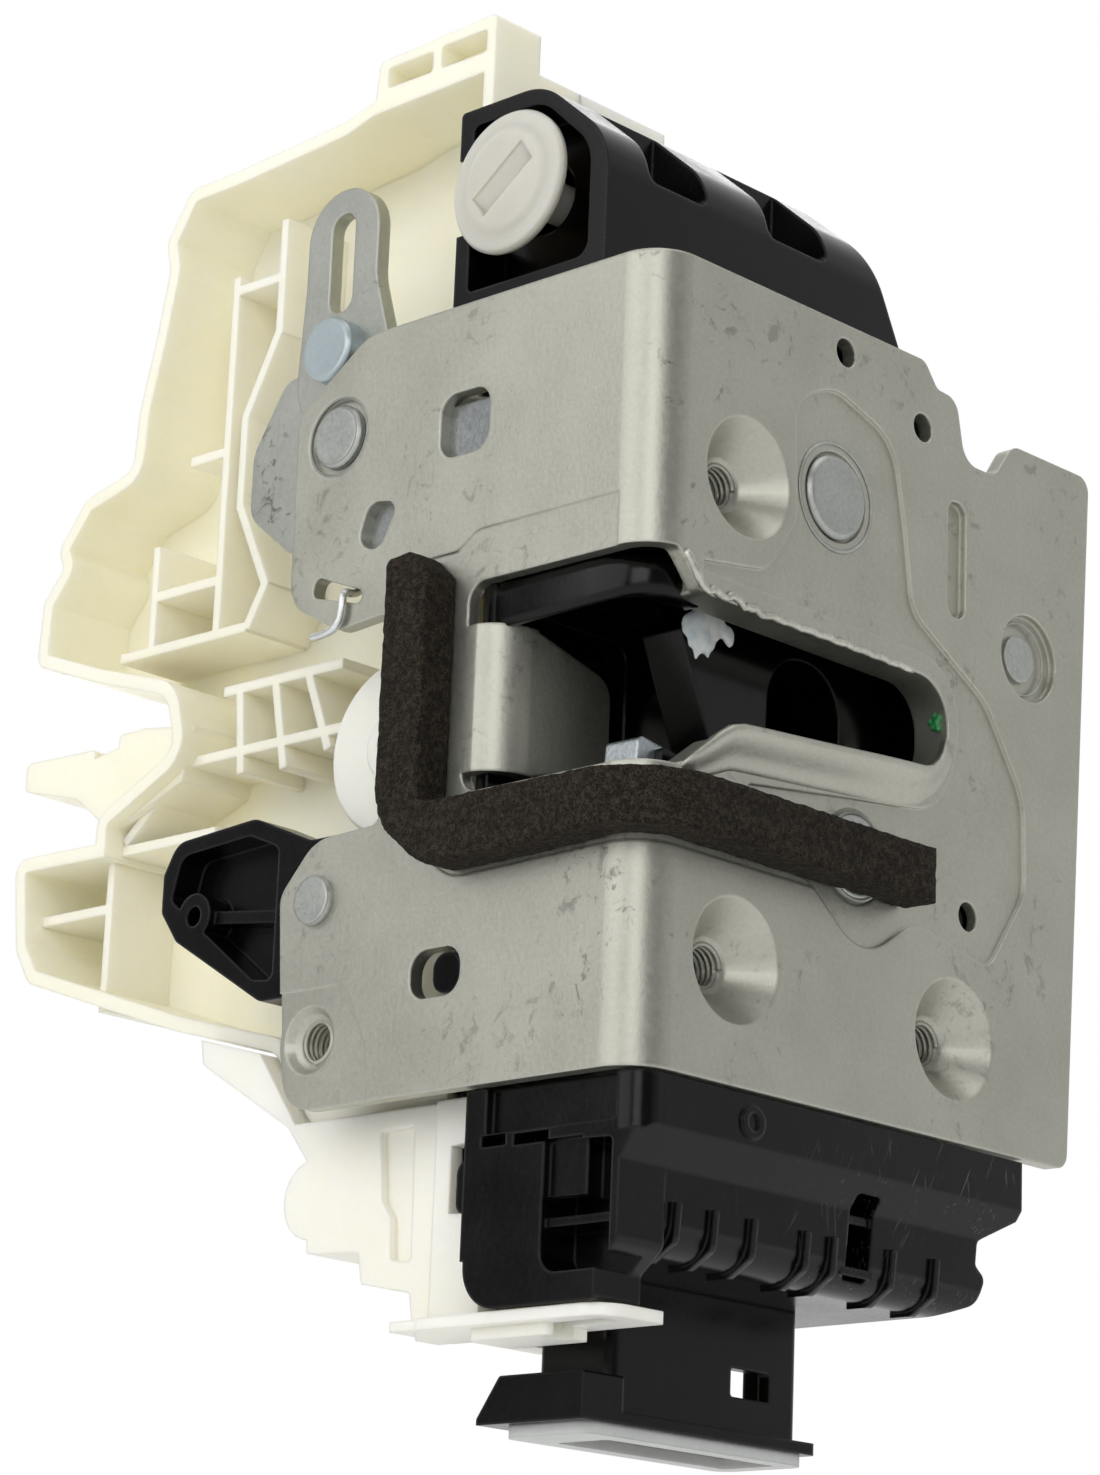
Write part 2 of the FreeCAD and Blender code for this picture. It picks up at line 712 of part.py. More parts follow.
plate_rivet = body("plate_rivet")
turned(plate_rivet, "front", (68.0, 15.8), [
    (0, sheet_thick * 0.25), (2.9, sheet_thick * 0.25), (2.9, sheet_thick * 0.5), (2.0, sheet_thick * 0.5),
    (2.0, plate_back), (3.2, plate_back), (2.8, plate_back + 1), (0, plate_back + 1),
])
cut(plate, "front", -1, sheet_thick + 2, [(68.0, 15.8, size(2.0) + running)])

# Black latch housing: a moulded block behind the plate with the chambers of
# the catch and pawl and the channel of the striker

housing = body("latch_housing")
housing_top = named("housing_top")
housing_bottom = named("housing_bottom")
housing_right = named("housing_right")
chamber_back = named("chamber_back")
channel_back = named("mouth_channel_back")
add(housing, "front", sheet_thick + gap, housing_back - sheet_thick - gap, [[
    (housing_left, housing_bottom), (housing_right - 3, housing_bottom, 4), (housing_right, named("housing_low_top"), 4),
    (notch_x - 8, named("housing_low_top"), 3), (notch_x - 10, housing_top, 3), (housing_left, housing_top),
]])
# its front corner follows the bend of the plate
cut(housing, "top", housing_bottom - 1, housing_top - housing_bottom + 2, [[
    (housing_left - 1, sheet_thick + gap - 1), (housing_left + 5, sheet_thick + gap - 1),
    (housing_left + 5, sheet_thick + gap), (housing_left, sheet_thick + gap, bend - sheet_thick),
    (housing_left, sheet_thick + gap + 5), (housing_left - 1, sheet_thick + gap + 5),
]])
cut(housing, "front", sheet_thick, chamber_back - sheet_thick, [[
    (housing_left + 1.3, 42, 4), (catch_x + hub + 3, 42, 6), (mouth_end + 4, 22, 6), (mouth_end + 4, mouth_floor - 3, 4),
    (pawl_x + pawl_hub + 2.5, mouth_floor - 7, 2), (pawl_x + pawl_hub + 2.5, pawl_z - pawl_hub - 3, 5),
    (12, pawl_z - pawl_hub - 2.5, 3), (housing_left + 1.3, -16, 3),
]])
cut(housing, "front", sheet_thick, channel_back - sheet_thick, [[
    (0, side_top + 0.2), (bend + 3, side_top + 0.2, 2), (mouth_end + 1.5, mouth_top + 1.5, 5),
    (mouth_end + 1.5, mouth_floor - 1.5, 5), (bend + 9, mouth_entry - 1.5, 3), (bend + 3, side_floor - 0.5, 2), (0, side_floor - 0.5),
]])
cut(housing, "front", channel_back - 1, housing_back, [
    box(0, tab_floor - 1.2, named("guide_tab_reach") + 1.5, tab_top + 1.2, 2),
])
cut(housing, "side", housing_left - 1, 3.5, [box(0, side_floor - 0.5, housing_back + 2, side_top + 0.2)])
for centre in PLATE_SCREWS[1:]:
    cut(housing, "front", sheet_thick, collar_end - sheet_thick + 0.6, [(centre[0], centre[1], dimple + 1.6)])
cut(housing, "front", sheet_thick, housing_back, [
    (catch_x, catch_z, pin_radius + running), (pawl_x, pawl_z, pawl_pin_radius + running), (68.0, 15.8, size(2.0) + running),
])
cut(housing, "front", chamber_back - 1, 6.2, [(catch_x, catch_z, 9.6)])
cut(housing, "front", chamber_back - 1, 5.0, [(pawl_x, pawl_z, 7.6)])
# bosses that carry the pins through the spring pockets
turned(housing, "front", (catch_x, catch_z), [
    (pin_radius + running, chamber_back + 0.4), (pin_radius + 1.6, chamber_back + 0.4),
    (pin_radius + 1.6, housing_back - 1), (pin_radius + running, housing_back - 1),
])
# peg that shows behind the oval hole of the flange
add(housing, "side", sheet_thick - 1.2, 4, [box(28.2, -35.0, 32.6, -30.4, 1.8)])
# arms that carry the side carrier behind the flange
bridge_left = named("carrier_front")
carrier_right = named("carrier_right")
add(housing, "side", bridge_left, 10.5, [
    box(housing_back - 1, 16.5, carrier_right - gap, 46, 2), box(housing_back - 1, housing_bottom, carrier_right - gap, -14.5, 2),
])
add(housing, "side", sheet_thick - 1.2, bridge_left - sheet_thick + 2.2, [box(28.2, -35.0, 32.6, -30.4, 1.8)])

back_plate = body("back_plate")
add(back_plate, "front", housing_back + gap, named("back_plate_thick"), [[
    (22.5, 40, 4), (44, 40, 6), (housing_right - 3, 24, 8), (housing_right - 3, -24, 8), (44, -36, 6), (22.5, -36, 4),
]])
cut(back_plate, "front", housing_back, 4, [
    (catch_x, catch_z, pin_radius + running), (pawl_x, pawl_z, pawl_pin_radius + running), (68.0, 15.8, size(2.0) + running),
])

# Foam seal: a vertical strip on the flange, then round the bend onto the plate

foam = body("foam_seal")
foam_thick = named("foam_thick")
foam_top = named("foam_top")
add(foam, "side", -foam_thick, foam_thick + foam_bed, [[
    (foam_left, foam_top, 1), (foam_left - foam_width * 0.55, foam_top + 0.6, 1), (foam_left - foam_width, foam_top - 2.4, 0.6),
    (foam_left - foam_width, foam_low_top, 1), (bend, foam_low_top), (bend, foam_low_top - foam_width),
    (foam_left - 8, foam_low_top - foam_width - 0.6, 6), (foam_left, foam_low_top - 1, 7),
]])
add(foam, "top", foam_low_top - foam_width + 0.3, foam_width - 0.3, [[
    (-foam_thick, bend + lap), (-foam_thick, -foam_thick, bend + foam_thick), (foam_right, -foam_thick, 0.8),
    (foam_right, foam_bed), (foam_bed, foam_bed, bend - foam_bed), (foam_bed, bend + lap),
]])
# room for the head of the pawl's rivet
cut(foam, "front", -0.1, 1, [(pawl_x, pawl_z, pawl_pin_radius + 2.1)])

# Child lock tower above the plate, and its knob

tower = body("child_lock_tower")
tower_front = named("tower_front")
tower_side = named("tower_side")
tower_back = named("tower_back")
tower_top = named("tower_top")
tower_foot = named("tower_foot")
tower_wall = named("tower_wall")
tower_end = named("tower_end")
recess_foot = named("tower_recess_foot")
knob_y = named("knob_y")
knob_z = named("knob_z")
knob_radius = named("knob_radius")
knob_stem = named("knob_stem")
tower_left = tower_front + 0.6
add(tower, "side", tower_left, tower_end - tower_left, [[
    (tower_back, tower_foot), (tower_side, tower_foot), (tower_side, tower_top - 9.5, 9), (tower_side + 11, tower_top, 9),
    (tower_back, tower_top, 0.6),
]])
# the far end slopes down to the plate
cut(tower, "front", tower_side - 1, tower_back - tower_side + 2, [[
    (tower_end - 12.5, tower_top + 1), (tower_end - 11, tower_top - 6.5, 6), (tower_end, tower_foot + 2),
    (tower_end, tower_foot - 1), (tower_end + 4, tower_foot - 1), (tower_end + 4, tower_top + 1),
]])
# open frame round the knob
cut(tower, "side", tower_front, 7, [[
    (tower_back - tower_wall, tower_foot + 4.6, 1), (tower_side + tower_wall + 0.6, tower_foot + 4.6, 2),
    (tower_side + tower_wall + 0.6, tower_top - 9.9, 6), (tower_side + 11, tower_top - tower_wall, 6),
    (tower_back - tower_wall, tower_top - tower_wall, 1),
]])
cut(tower, "side", tower_front, 7, [box(tower_back - 3, knob_z - 4.8, tower_back + 1, knob_z + 5.2)])
cut(tower, "side", tower_front, 20, [(knob_y, knob_z, knob_stem + running)])
# two recesses in the shoulder, each with a deeper pocket behind the front wall
for left, right in ((10.9, 21.5), (32.6, 44.0)):
    cut(tower, "front", tower_side - 1, 10.5, [[
        (left, recess_foot, 1.5), (right, recess_foot, 1.5), (right, tower_top + 1), (left, tower_top + 1),
    ]])
    cut(tower, "top", tower_foot + 7, tower_top - tower_foot, [
        box(left + 1.2, tower_side + tower_wall, right - 1.2, tower_side + 9, 2),
    ])
# hollows in the back
for left in (25.0, 37.0):
    cut(tower, "front", tower_side + 12, tower_back - tower_side, [box(left, tower_foot + 3, left + 10, tower_top - 3, 2)])

knob = body("child_lock_knob")
turned(knob, "side", (knob_y, knob_z), [
    (0, 0.7), (knob_radius - 1.0, 0.7, 0.4), (knob_radius, 1.5, 0.5), (knob_radius, tower_front + 0.1), (knob_stem + 1.6, tower_front + 0.1),
    (knob_stem + 1.6, tower_front + 6.6), (knob_stem, tower_front + 6.6), (knob_stem, tower_front + 14.6), (0, tower_front + 14.6),
])
slant = math.radians(35)
along, over = Vector(math.cos(slant), math.sin(slant), 0), Vector(-math.sin(slant), math.cos(slant), 0)
key = []
for reach, side in ((-6.6, -2.0), (6.6, -2.0), (6.6, 2.0), (-6.6, 2.0)):
    spot = along * reach + over * side
    key.append((knob_y + spot.x, knob_z + spot.y, 0.4))
cut(knob, "side", 0, 2.0, [key])

# Side levers on their common rivet

release_x = named("release_lever_x")
inside_x = named("inside_lever_x")
lever_sheet = named("lever_sheet")
arm_middle = named("arm_middle")
arm_half = named("arm_width") / 2
arm_top = named("arm_top")
rivet_y = named("rivet_y")
rivet_z = named("rivet_z")
rivet_radius = named("rivet_radius")
release = body("release_lever")
add(release, "side", release_x, lever_sheet, [[
    (lever_y - 7.6, lever_z - 7.6, 7), (lever_y + 7.6, lever_z - 7.6, 7), (rivet_y + 8.2, rivet_z - 3, 8),
    (arm_middle + arm_half, arm_top - 12, 10), (arm_middle + arm_half, arm_top, arm_half * 0.97),
    (arm_middle - arm_half, arm_top, arm_half * 0.97), (arm_middle - arm_half, arm_top - 13, 10),
    (lever_y - 3, rivet_z - 2, 8), (lever_y - 7.6, lever_z + 5, 5),
]])
slot_half_width = named("arm_slot_width") / 2
cut(release, "side", release_x - 1, lever_sheet + 2, [
    box(arm_middle - slot_half_width, arm_top - 16.6, arm_middle + slot_half_width, arm_top - 3.2, slot_half_width * 0.97),
    (lever_y, lever_z, lever_pin_radius + running), (rivet_y, rivet_z, 2.5),
])
arm_rivet = body("arm_rivet")
turned(arm_rivet, "side", (rivet_y, rivet_z), [
    (0, sheet_thick + gap), (rivet_radius - 0.4, sheet_thick + gap, 0.3), (rivet_radius, sheet_thick + gap + 0.5), (rivet_radius, release_x),
    (2.45, release_x), (2.45, release_x + lever_sheet), (3.0, release_x + lever_sheet),
    (3.0, release_x + lever_sheet + 0.15), (0, release_x + lever_sheet + 0.15),
])
inside = body("inside_lever")
add(inside, "side", inside_x, lever_sheet, [[
    (70.8, 51.4, 3), (76.8, 42, 5), (76.8, 33.5, 4), (68.6, 26.9, 3), (lever_y, lever_z - 8.4, 3), (40, 30.2, 4), (27.6, 30.2, 3),
    (27.6, 38.4, 3), (44, 42.6, 5), (58, 46.5, 4),
]])
cut(inside, "side", inside_x - 1, lever_sheet + 2, [(lever_y, lever_z, lever_pin_radius + running)])
lever_pin = body("lever_pin")
lever_pin_end = carrier_back - 2.4
turned(lever_pin, "side", (lever_y, lever_z), [
    (0, -0.5), (3.6, -0.5, 0.4), (4.0, 0.0), (4.0, 0.6), (lever_pin_radius, 0.6), (lever_pin_radius, lever_pin_end - 0.6),
    (lever_pin_radius - 0.6, lever_pin_end), (0, lever_pin_end),
])

# Wire springs


def coil_points(centre, axis, radius, pitch, turns):
    """Points along the middle of a close coil that stands on centre."""
    place = FreeCAD.Placement(centre, FreeCAD.Rotation(Vector(0, 0, 1), axis))
    steps = round(turns * 16)
    points = []
    for step in range(steps + 1):
        angle = 2 * math.pi * turns * step / steps
        spot = Vector(radius * math.cos(angle), radius * math.sin(angle), pitch * turns * step / steps)
        points.append(place.multVec(spot))
    return points


def spring(label, points, wire):
    """Round wire in short straight runs, mitred where they meet."""
    path = Part.makePolygon(points)
    ring = Part.Wire([Part.Edge(Part.Circle(points[0], points[1] - points[0], wire / 2))])
    made = doc.addObject("Part::Feature", label)
    made.Label = label
    made.Shape = path.makePipeShell([ring], True, False, 1)
    bodies.append(made)
    return made


lever_place = Vector(sheet_thick.number + 0.75, lever_y.number, lever_z.number)
lever_coil = coil_points(lever_place, Vector(1, 0, 0), 5.0, 1.05, 1.9)
lever_coil.reverse()
leg_x = lever_coil[-1].x
hook_x = -0.7
hook = [
    (leg_x, 49.9, 16.3), (hook_x, 50.0, 16.2), (hook_x, 50.2, 13.4), (hook_x, 51.0, 12.1), (hook_x, 52.2, 11.6),
    (hook_x, 55.2, 11.6),
]
spring("lever_spring", lever_coil + [Vector(*point) for point in hook], 1.0)
catch_place = Vector(catch_x.number, chamber_back.number + 1.0, catch_z.number)
spring("catch_spring", coil_points(catch_place, Vector(0, 1, 0), 7.6, 1.4, 2.6), 1.3)
pawl_place = Vector(pawl_x.number, chamber_back.number - 0.2, pawl_z.number)
spring("pawl_spring", coil_points(pawl_place, Vector(0, 1, 0), 5.4, 1.2, 2.5), 1.1)

# Cream carrier: an open moulded tray with ribs, beside the latch

carrier = body("carrier")
carrier_wall = named("carrier_wall")
carrier_top = named("carrier_top")
carrier_foot = named("carrier_foot")
carrier_depth = named("carrier_depth")
rib = named("rib_thick")
carrier_outline = [
    (carrier_right, carrier_top), (60.5, carrier_top - 0.4, 3), (66.0, carrier_top - 1.8, 3), (85.5, carrier_top - 3.1, 8),
    (95.2, carrier_top - 3.3, 2.5), (99.6, 77.7, 2.2), (98.6, 73.4, 2.2), (100.5, 64.0, 8), (102.9, 54.4, 8),
    (103.4, 46.4, 2.5), (112.6, 44.2, 2.5), (117.8, 37.9, 2.2), (116.4, 35.3, 1), (120.0, 31.1, 2.2),
    (120.5, 22.3, 2.2), (107.6, 17.7, 8), (93.5, 13.6, 4), (91.5, 6.0, 3), (105.8, -0.8, 3), (105.8, -4.4),
    (122.0, -4.2, 2.2), (120.5, -16.6, 3), (117.5, -21.4, 3), (88.0, -31.1, 8), (69.0, -36.0, 4),
    (62.0, carrier_foot, 2.5), (carrier_right, carrier_foot),
]
carrier_floor = carrier_back - 2.0
add(carrier, "side", carrier_front, carrier_depth, [carrier_outline])
cut(carrier, "side", carrier_front - 1, carrier_depth - 1.0, [inset(carrier_outline, carrier_wall)])
add(carrier, "side", carrier_front + 2, carrier_depth - 3, [[
    (90.0, 9.4), (99.9, 10.7, 0.5), (104.8, 10.6, 0.5), (104.8, 8.9), (109.6, 8.2), (109.6, 9.4, 0.5), (123.5, 9.7, 1),
    (123.5, 5.8, 1), (112.7, 3.2, 4), (105.0, -2.6), (92.0, 2.4),
]])
add(carrier, "side", carrier_front, 8.0, [[
    (carrier_right, carrier_top - 1), (carrier_right, carrier_top + 5.6, 0.6), (59.8, carrier_top + 4.8, 1), (60.4, carrier_top - 1),
]])
cut(carrier, "side", carrier_front - 1, 5.0, [
    box(carrier_right + 1.6, carrier_top + 0.8, 48.6, carrier_top + 3.8, 0.5), box(50.2, carrier_top + 0.8, 58.2, carrier_top + 3.6, 0.5),
])


def bar(start, end, thick):
    """A straight rib between two points, seen from the side."""
    first, last = Vector(*start, 0), Vector(*end, 0)
    over = (last - first).normalize().cross(Vector(0, 0, 1)) * 0.5
    made = []
    for point, sign in ((first, 1), (last, 1), (last, -1), (first, -1)):
        made.append((thick * (over.x * sign) + point.x, thick * (over.y * sign) + point.y))
    return made


# Ribs of the tray, each between two points across the depth from the side
RIBS = [
    ((88.4, 21.6), (88.4, 71.0)), ((79.8, 69.0), (88.4, 69.0)), ((88.4, 46.6), (95.4, 46.6)),
    ((88.4, 29.0), (101.0, 29.0)), ((101.0, 21.0), (101.0, 36.0)), ((79.6, 61.0), (79.6, 77.0)),
    ((79.6, 61.4), (85.2, 50.6)), ((85.2, 50.8), (85.2, 38.0)), ((85.2, 38.4), (79.4, 26.6)),
    ((79.4, 27.0), (82.6, 21.4)), ((82.6, 21.6), (107.0, 21.6)), ((64.0, 13.4), (86.0, 13.4)),
    ((83.0, 13.4), (82.0, 2.0)), ((76.4, 13.4), (74.0, 1.4)), ((70.4, 13.4), (66.0, 2.6)),
    ((62.0, 5.0), (94.0, 5.0)), ((93.0, 5.0), (103.6, -4.0)), ((86.0, -5.0), (105.0, -5.0)),
    ((105.8, -12.4), (120.6, -12.4)), ((105.8, -5.0), (105.8, -26.0)), ((64.0, -33.0), (84.0, -5.0)),
]
for start, end in RIBS:
    add(carrier, "side", carrier_front + 3.0, carrier_floor - carrier_front - 2.0, [bar(start, end, rib)])

# Bosses for the lever rivet and the lock cam
cam_y = named("cam_y")
cam_z = named("cam_z")
cam_radius = named("cam_radius")
cam_x = named("cam_x") + 1.6
cam_thick = named("cam_thick")
cam_stem = size(3.0)
add(carrier, "side", carrier_front, carrier_floor - carrier_front + 0.5, [(lever_y, lever_z, lever_pin_radius + 2.4)])
cut(carrier, "side", carrier_front - 1, carrier_floor - carrier_front + 1, [(lever_y, lever_z, lever_pin_radius + running)])
cut(carrier, "side", carrier_front - 1, cam_x + cam_thick + gap - carrier_front + 1, [(cam_y, cam_z, cam_radius + 0.8)])
add(carrier, "side", cam_x + cam_thick + gap, carrier_floor - cam_x - cam_thick, [(cam_y, cam_z, cam_stem + 2)])
cut(carrier, "side", cam_x, carrier_floor - cam_x, [(cam_y, cam_z, cam_stem + running)])

cam = body("lock_cam")
turned(cam, "side", (cam_y, cam_z), [
    (0, cam_x - 0.6), (4.2, cam_x - 0.6), (4.2, cam_x), (cam_radius - 0.4, cam_x), (cam_radius, cam_x + 0.4),
    (cam_radius, cam_x + cam_thick),
    (cam_stem, cam_x + cam_thick), (cam_stem, carrier_floor - 1), (0, carrier_floor - 1),
])

# Rear cover: closes the back of the carrier and reaches down to a box

cover = body("actuator_cover")
cover_back = named("cover_back")
cover_wall = named("cover_wall")
motor_y = named("motor_y")
motor_z = named("motor_z")
motor_radius = named("motor_radius")
motor_length = named("motor_length")
worm_radius = named("worm_radius")
wheel_radius = named("wheel_radius")
motor_x = (carrier_back + cover_back - cover_wall) / 2
wheel_y = motor_y + worm_radius + wheel_radius + gap
wheel_z = motor_z + motor_length + 1.6 + named("worm_length") / 2
cover_outline = [
    (carrier_right, carrier_top), (60.5, carrier_top - 0.4, 3), (85.5, carrier_top - 3.1, 8), (95.0, carrier_top - 6.0, 4),
    (97.5, 60.0, 5), (98.0, 38.0, 5), (88.5, 16.0, 6), (87.0, -28.0, 5), (69.0, -36.0, 4), (62.0, carrier_foot, 2.5),
    (carrier_right, carrier_foot),
]
add(cover, "side", carrier_back, cover_back - carrier_back, [cover_outline])
cut(cover, "side", carrier_back - 1, cover_back - cover_wall - carrier_back + 1, [inset(cover_outline, cover_wall)])
box_front = named("box_front")
box_right = named("box_right")
box_foot = named("box_foot")
add(cover, "side", box_front, 24, [[
    (80.0, -33.6), (79.4, -36.8, 1), (63.4, -46.2, 3), (59.8, -50.6, 1.5), (59.0, -61.8, 0.6), (50.2, -62.2, 0.4),
    (49.5, -66.0, 0.6), (41.4, -67.6, 0.4), (40.6, box_foot, 0.6), (box_right, box_foot), (box_right, carrier_foot - gap),
    (62.2, carrier_foot - gap), (69.2, -36.5),
]])
add(cover, "side", box_front, 20, [(58.6, -55.3, 4.8)])
add(cover, "side", carrier_back, 7.5, [box(40, carrier_foot - 4, 60, carrier_foot + 1.5)])
add(cover, "side", carrier_back + 0.6, cover_back - cover_wall - carrier_back, [(wheel_y, wheel_z, 2.0)])
# lip along the black housing, with a notch for the housing's catch
add(cover, "side", box_front - 1.2, 1.9, [[
    (box_right + 1, carrier_foot - gap), (box_right - 7, carrier_foot - gap), (box_right - 7, -51.0), (box_right - 1.6, -51.4),
    (box_right - 1.6, -59.2), (box_right - 7, -59.6), (box_right - 7, box_foot), (box_right + 1, box_foot),
]])
low_side_foot = named("low_side_foot")
tongue_top = low_side_foot - 0.2
add(cover, "top", tongue_top - 1.4, 1.4, [[
    (1.8, 5.0, 4), (11.6, 5.0, 0.5), (11.6, box_right + 4), (box_front, box_right + 4), (1.8, box_right - 2, 3),
]])
add(cover, "top", tongue_top - 2.8, 1.6, [box(3.4, 15.0, 10.4, 27.0, 0.8)])
add(cover, "top", box_foot - 0.6, 1.2, [box(3.6, box_right - 6, box_front + 6, box_right + 3.8)])
cut(cover, "top", tongue_top - 3, 4, [box(4.6, 8.0, 7.6, 17.0, 0.8)])
cut(cover, "side", box_front - 1, 2.0, [[
    (47.4, -48.2, 0.6), (46.6, -56.6, 1), (45.0, -58.6, 1), (44.8, -63.6, 0.6), (41.4, -64.0, 0.6), (41.8, -48.0, 0.6),
]])

motor = body("lock_motor")
turned(motor, "top", (motor_x, motor_y), [
    (0, motor_z), (motor_radius - 0.6, motor_z), (motor_radius, motor_z + 0.6), (motor_radius, motor_z + motor_length - 1.4),
    (motor_radius - 1, motor_z + motor_length - 0.8), (2.6, motor_z + motor_length - 0.8), (2.6, motor_z + motor_length), (1.05, motor_z + motor_length),
    (1.05, motor_z + motor_length - 4), (0, motor_z + motor_length - 4),
])
worm = body("motor_worm")
worm_foot = motor_z + motor_length + 1.6
worm_profile = [(0, worm_foot - 5), (1.0, worm_foot - 5), (1.0, worm_foot)]
threads = 5
for turn in range(threads):
    low = worm_foot + named("worm_length") * (turn / threads)
    step = named("worm_length") / threads
    worm_profile += [(worm_radius - 0.9, low), (worm_radius, low + step * 0.35), (worm_radius, low + step * 0.65)]
worm_profile += [(worm_radius - 0.9, worm_foot + named("worm_length")), (0, worm_foot + named("worm_length"))]
turned(worm, "top", (motor_x, motor_y), worm_profile)

wheel = body("worm_wheel")
wheel_thick = named("wheel_thick")
wheel_x = motor_x - wheel_thick / 2
add(wheel, "side", wheel_x, wheel_thick, [(wheel_y, wheel_z, wheel_radius - 1.0)])
tooth_sketch_feature = add(wheel, "side", wheel_x, wheel_thick, [[
    (wheel_y - 0.9, wheel_z + wheel_radius - 1.6), (wheel_y - 0.4, wheel_z + wheel_radius),
    (wheel_y + 0.4, wheel_z + wheel_radius), (wheel_y + 0.9, wheel_z + wheel_radius - 1.6),
]])
doc.recompute()
teeth = wheel.newObject("PartDesign::PolarPattern", "Teeth")
teeth.Originals = [tooth_sketch_feature]
tooth_axis = wheel.newObject("PartDesign::Line", "WheelAxis")
tooth_axis.Placement = FreeCAD.Placement(
    Vector(0, wheel_y.number, wheel_z.number), FreeCAD.Rotation(Vector(0, 0, 1), Vector(1, 0, 0)))
teeth.Axis = (tooth_axis, [""])
teeth.Angle = 360
teeth.Occurrences = 32
wheel.Tip = teeth
cut(wheel, "side", wheel_x - 1, wheel_thick + 2, [(wheel_y, wheel_z, size(2.0) + running)])

# Black lower housing with the socket below it

lower = body("lower_housing")
low_left = named("low_left")
low_right = named("low_right")
low_top = named("low_top")
low_front = named("low_front")
low_back = named("low_back")
low_foot = named("low_foot")
block_right = low_left + 7.5
add(lower, "side", low_left, low_right - low_left, [[
    (low_front, low_top), (low_back, low_top), (low_back, low_foot), (low_front + 3.4, low_foot, 4),
    (low_front + 2.6, low_top - 9.6, 0.6), (low_front, low_top - 5.8, 0.5),
]])
add(lower, "side", low_left, block_right - low_left, [[
    (low_front + 2.6, low_top - 1), (26.5, low_top - 1, 1), (26.5, low_side_foot, 5), (low_front + 5.8, low_side_foot, 0.6),
    (low_front + 5.8, low_side_foot + 3.4, 0.5), (low_front + 2.6, low_side_foot + 6.2, 1.5),
]])
cut(lower, "side", low_left - 1, block_right - low_left + 1, [box(27.0, low_side_foot - 1, low_back + 1, low_top + 1)])
add(lower, "side", low_left + 0.4, 6.4, [box(25.0, low_top - 13.8, 28.4, low_top - 7.8, 1.4)])
# rounded corner of the band that stands proud below the plate
cut(lower, "top", low_top - 6.4, 7, [[
    (low_left - 1, low_front - 1), (low_left + 5, low_front - 1), (low_left + 5, low_front), (low_left, low_front, 3),
    (low_left, low_front + 5), (low_left - 1, low_front + 5),
]])
cut(lower, "front", -1, 40, [[
    (75, low_top - 6.4), (low_right + 0.1, low_top - 7.0, 0.8), (low_right - 5.2, low_top - 10, 0.8), (low_right - 5.2, low_top - 12.8, 0.8),
    (low_right - 3.2, low_top - 14.2, 1), (low_right - 4.4, low_top - 17.4, 2), (low_right - 12, low_foot - 1), (75, low_foot - 1),
]])
cut(lower, "front", 0, 7.5, [box(40.6, low_foot + 1.6, 44.9, low_top - 7.8, 0.6)])
for up in (low_top - 10.6, low_top - 16.6):
    add(lower, "front", low_front + 3.2, 1.2, [box(40.0, up - 0.5, 45.4, up + 0.5)])
for across in (10.6, 16.8, 23.4, 32.6, 37.4, 48.0, 56.0):
    add(lower, "side", across, 0.9, [[
        (low_front + 2.2, low_foot + 6.0), (low_front + 2.6, low_foot + 1.6, 1), (low_front + 6.0, low_foot - 0.5, 1),
        (low_front + 9.0, low_foot - 0.5), (low_front + 9.0, low_foot + 2.0), (low_front + 5.0, low_foot + 6.0),
    ]])
# the side face: a wide recess, two slits, a stepped block and a deep pocket with one rib
cut(lower, "side", low_left - 1, 2.2, [box(4.0, low_top - 5.2, 23.8, low_top + 1, 0.3)])
cut(lower, "side", low_left - 1, 4.5, [
    box(20.6, low_top - 6.6, 24.4, low_top - 5.3), box(14.0, low_top - 6.8, 19.4, low_top - 5.5),
    [(4.4, low_top - 7.2, 0.6), (8.9, low_top - 7.0), (8.9, low_top - 13.2), (4.4, low_top - 13.4)],
])
cut(lower, "side", low_left - 1, 2.1, [box(8.8, low_top - 13.1, 14.6, low_top - 6.6)])
cut(lower, "side", low_left - 1, 6.6, [[
    (4.4, low_top - 13.3), (14.7, low_top - 13.1), (14.7, low_top - 21.4, 2.5), (6.0, low_top - 21.4, 1.5), (4.4, low_top - 19.6, 1),
]])
add(lower, "side", low_left + 0.8, 5.5, [box(4.2, low_top - 16.3, 15.0, low_top - 15.3)])
turned(lower, "front", (20.2, -49.9), [(1.0, low_front - 0.4), (1.9, low_front - 0.4), (1.9, low_front + 0.6), (1.0, low_front + 0.6)])

socket_left = named("socket_left")
socket_right = named("socket_right")
socket_front = named("socket_front")
socket_back = named("socket_back")
socket_foot = named("socket_foot")
socket_wall = named("socket_wall")
shell = body("connector_shell")
shell_height = low_foot - socket_foot
add(shell, "top", socket_foot, shell_height, [box(socket_left, socket_front, socket_right, socket_back, 1.2)])
add(shell, "top", socket_foot, 1.4, [box(socket_left - 6.1, socket_front - 1.6, socket_right + 1.7, socket_back + 1.4, 0.8)])
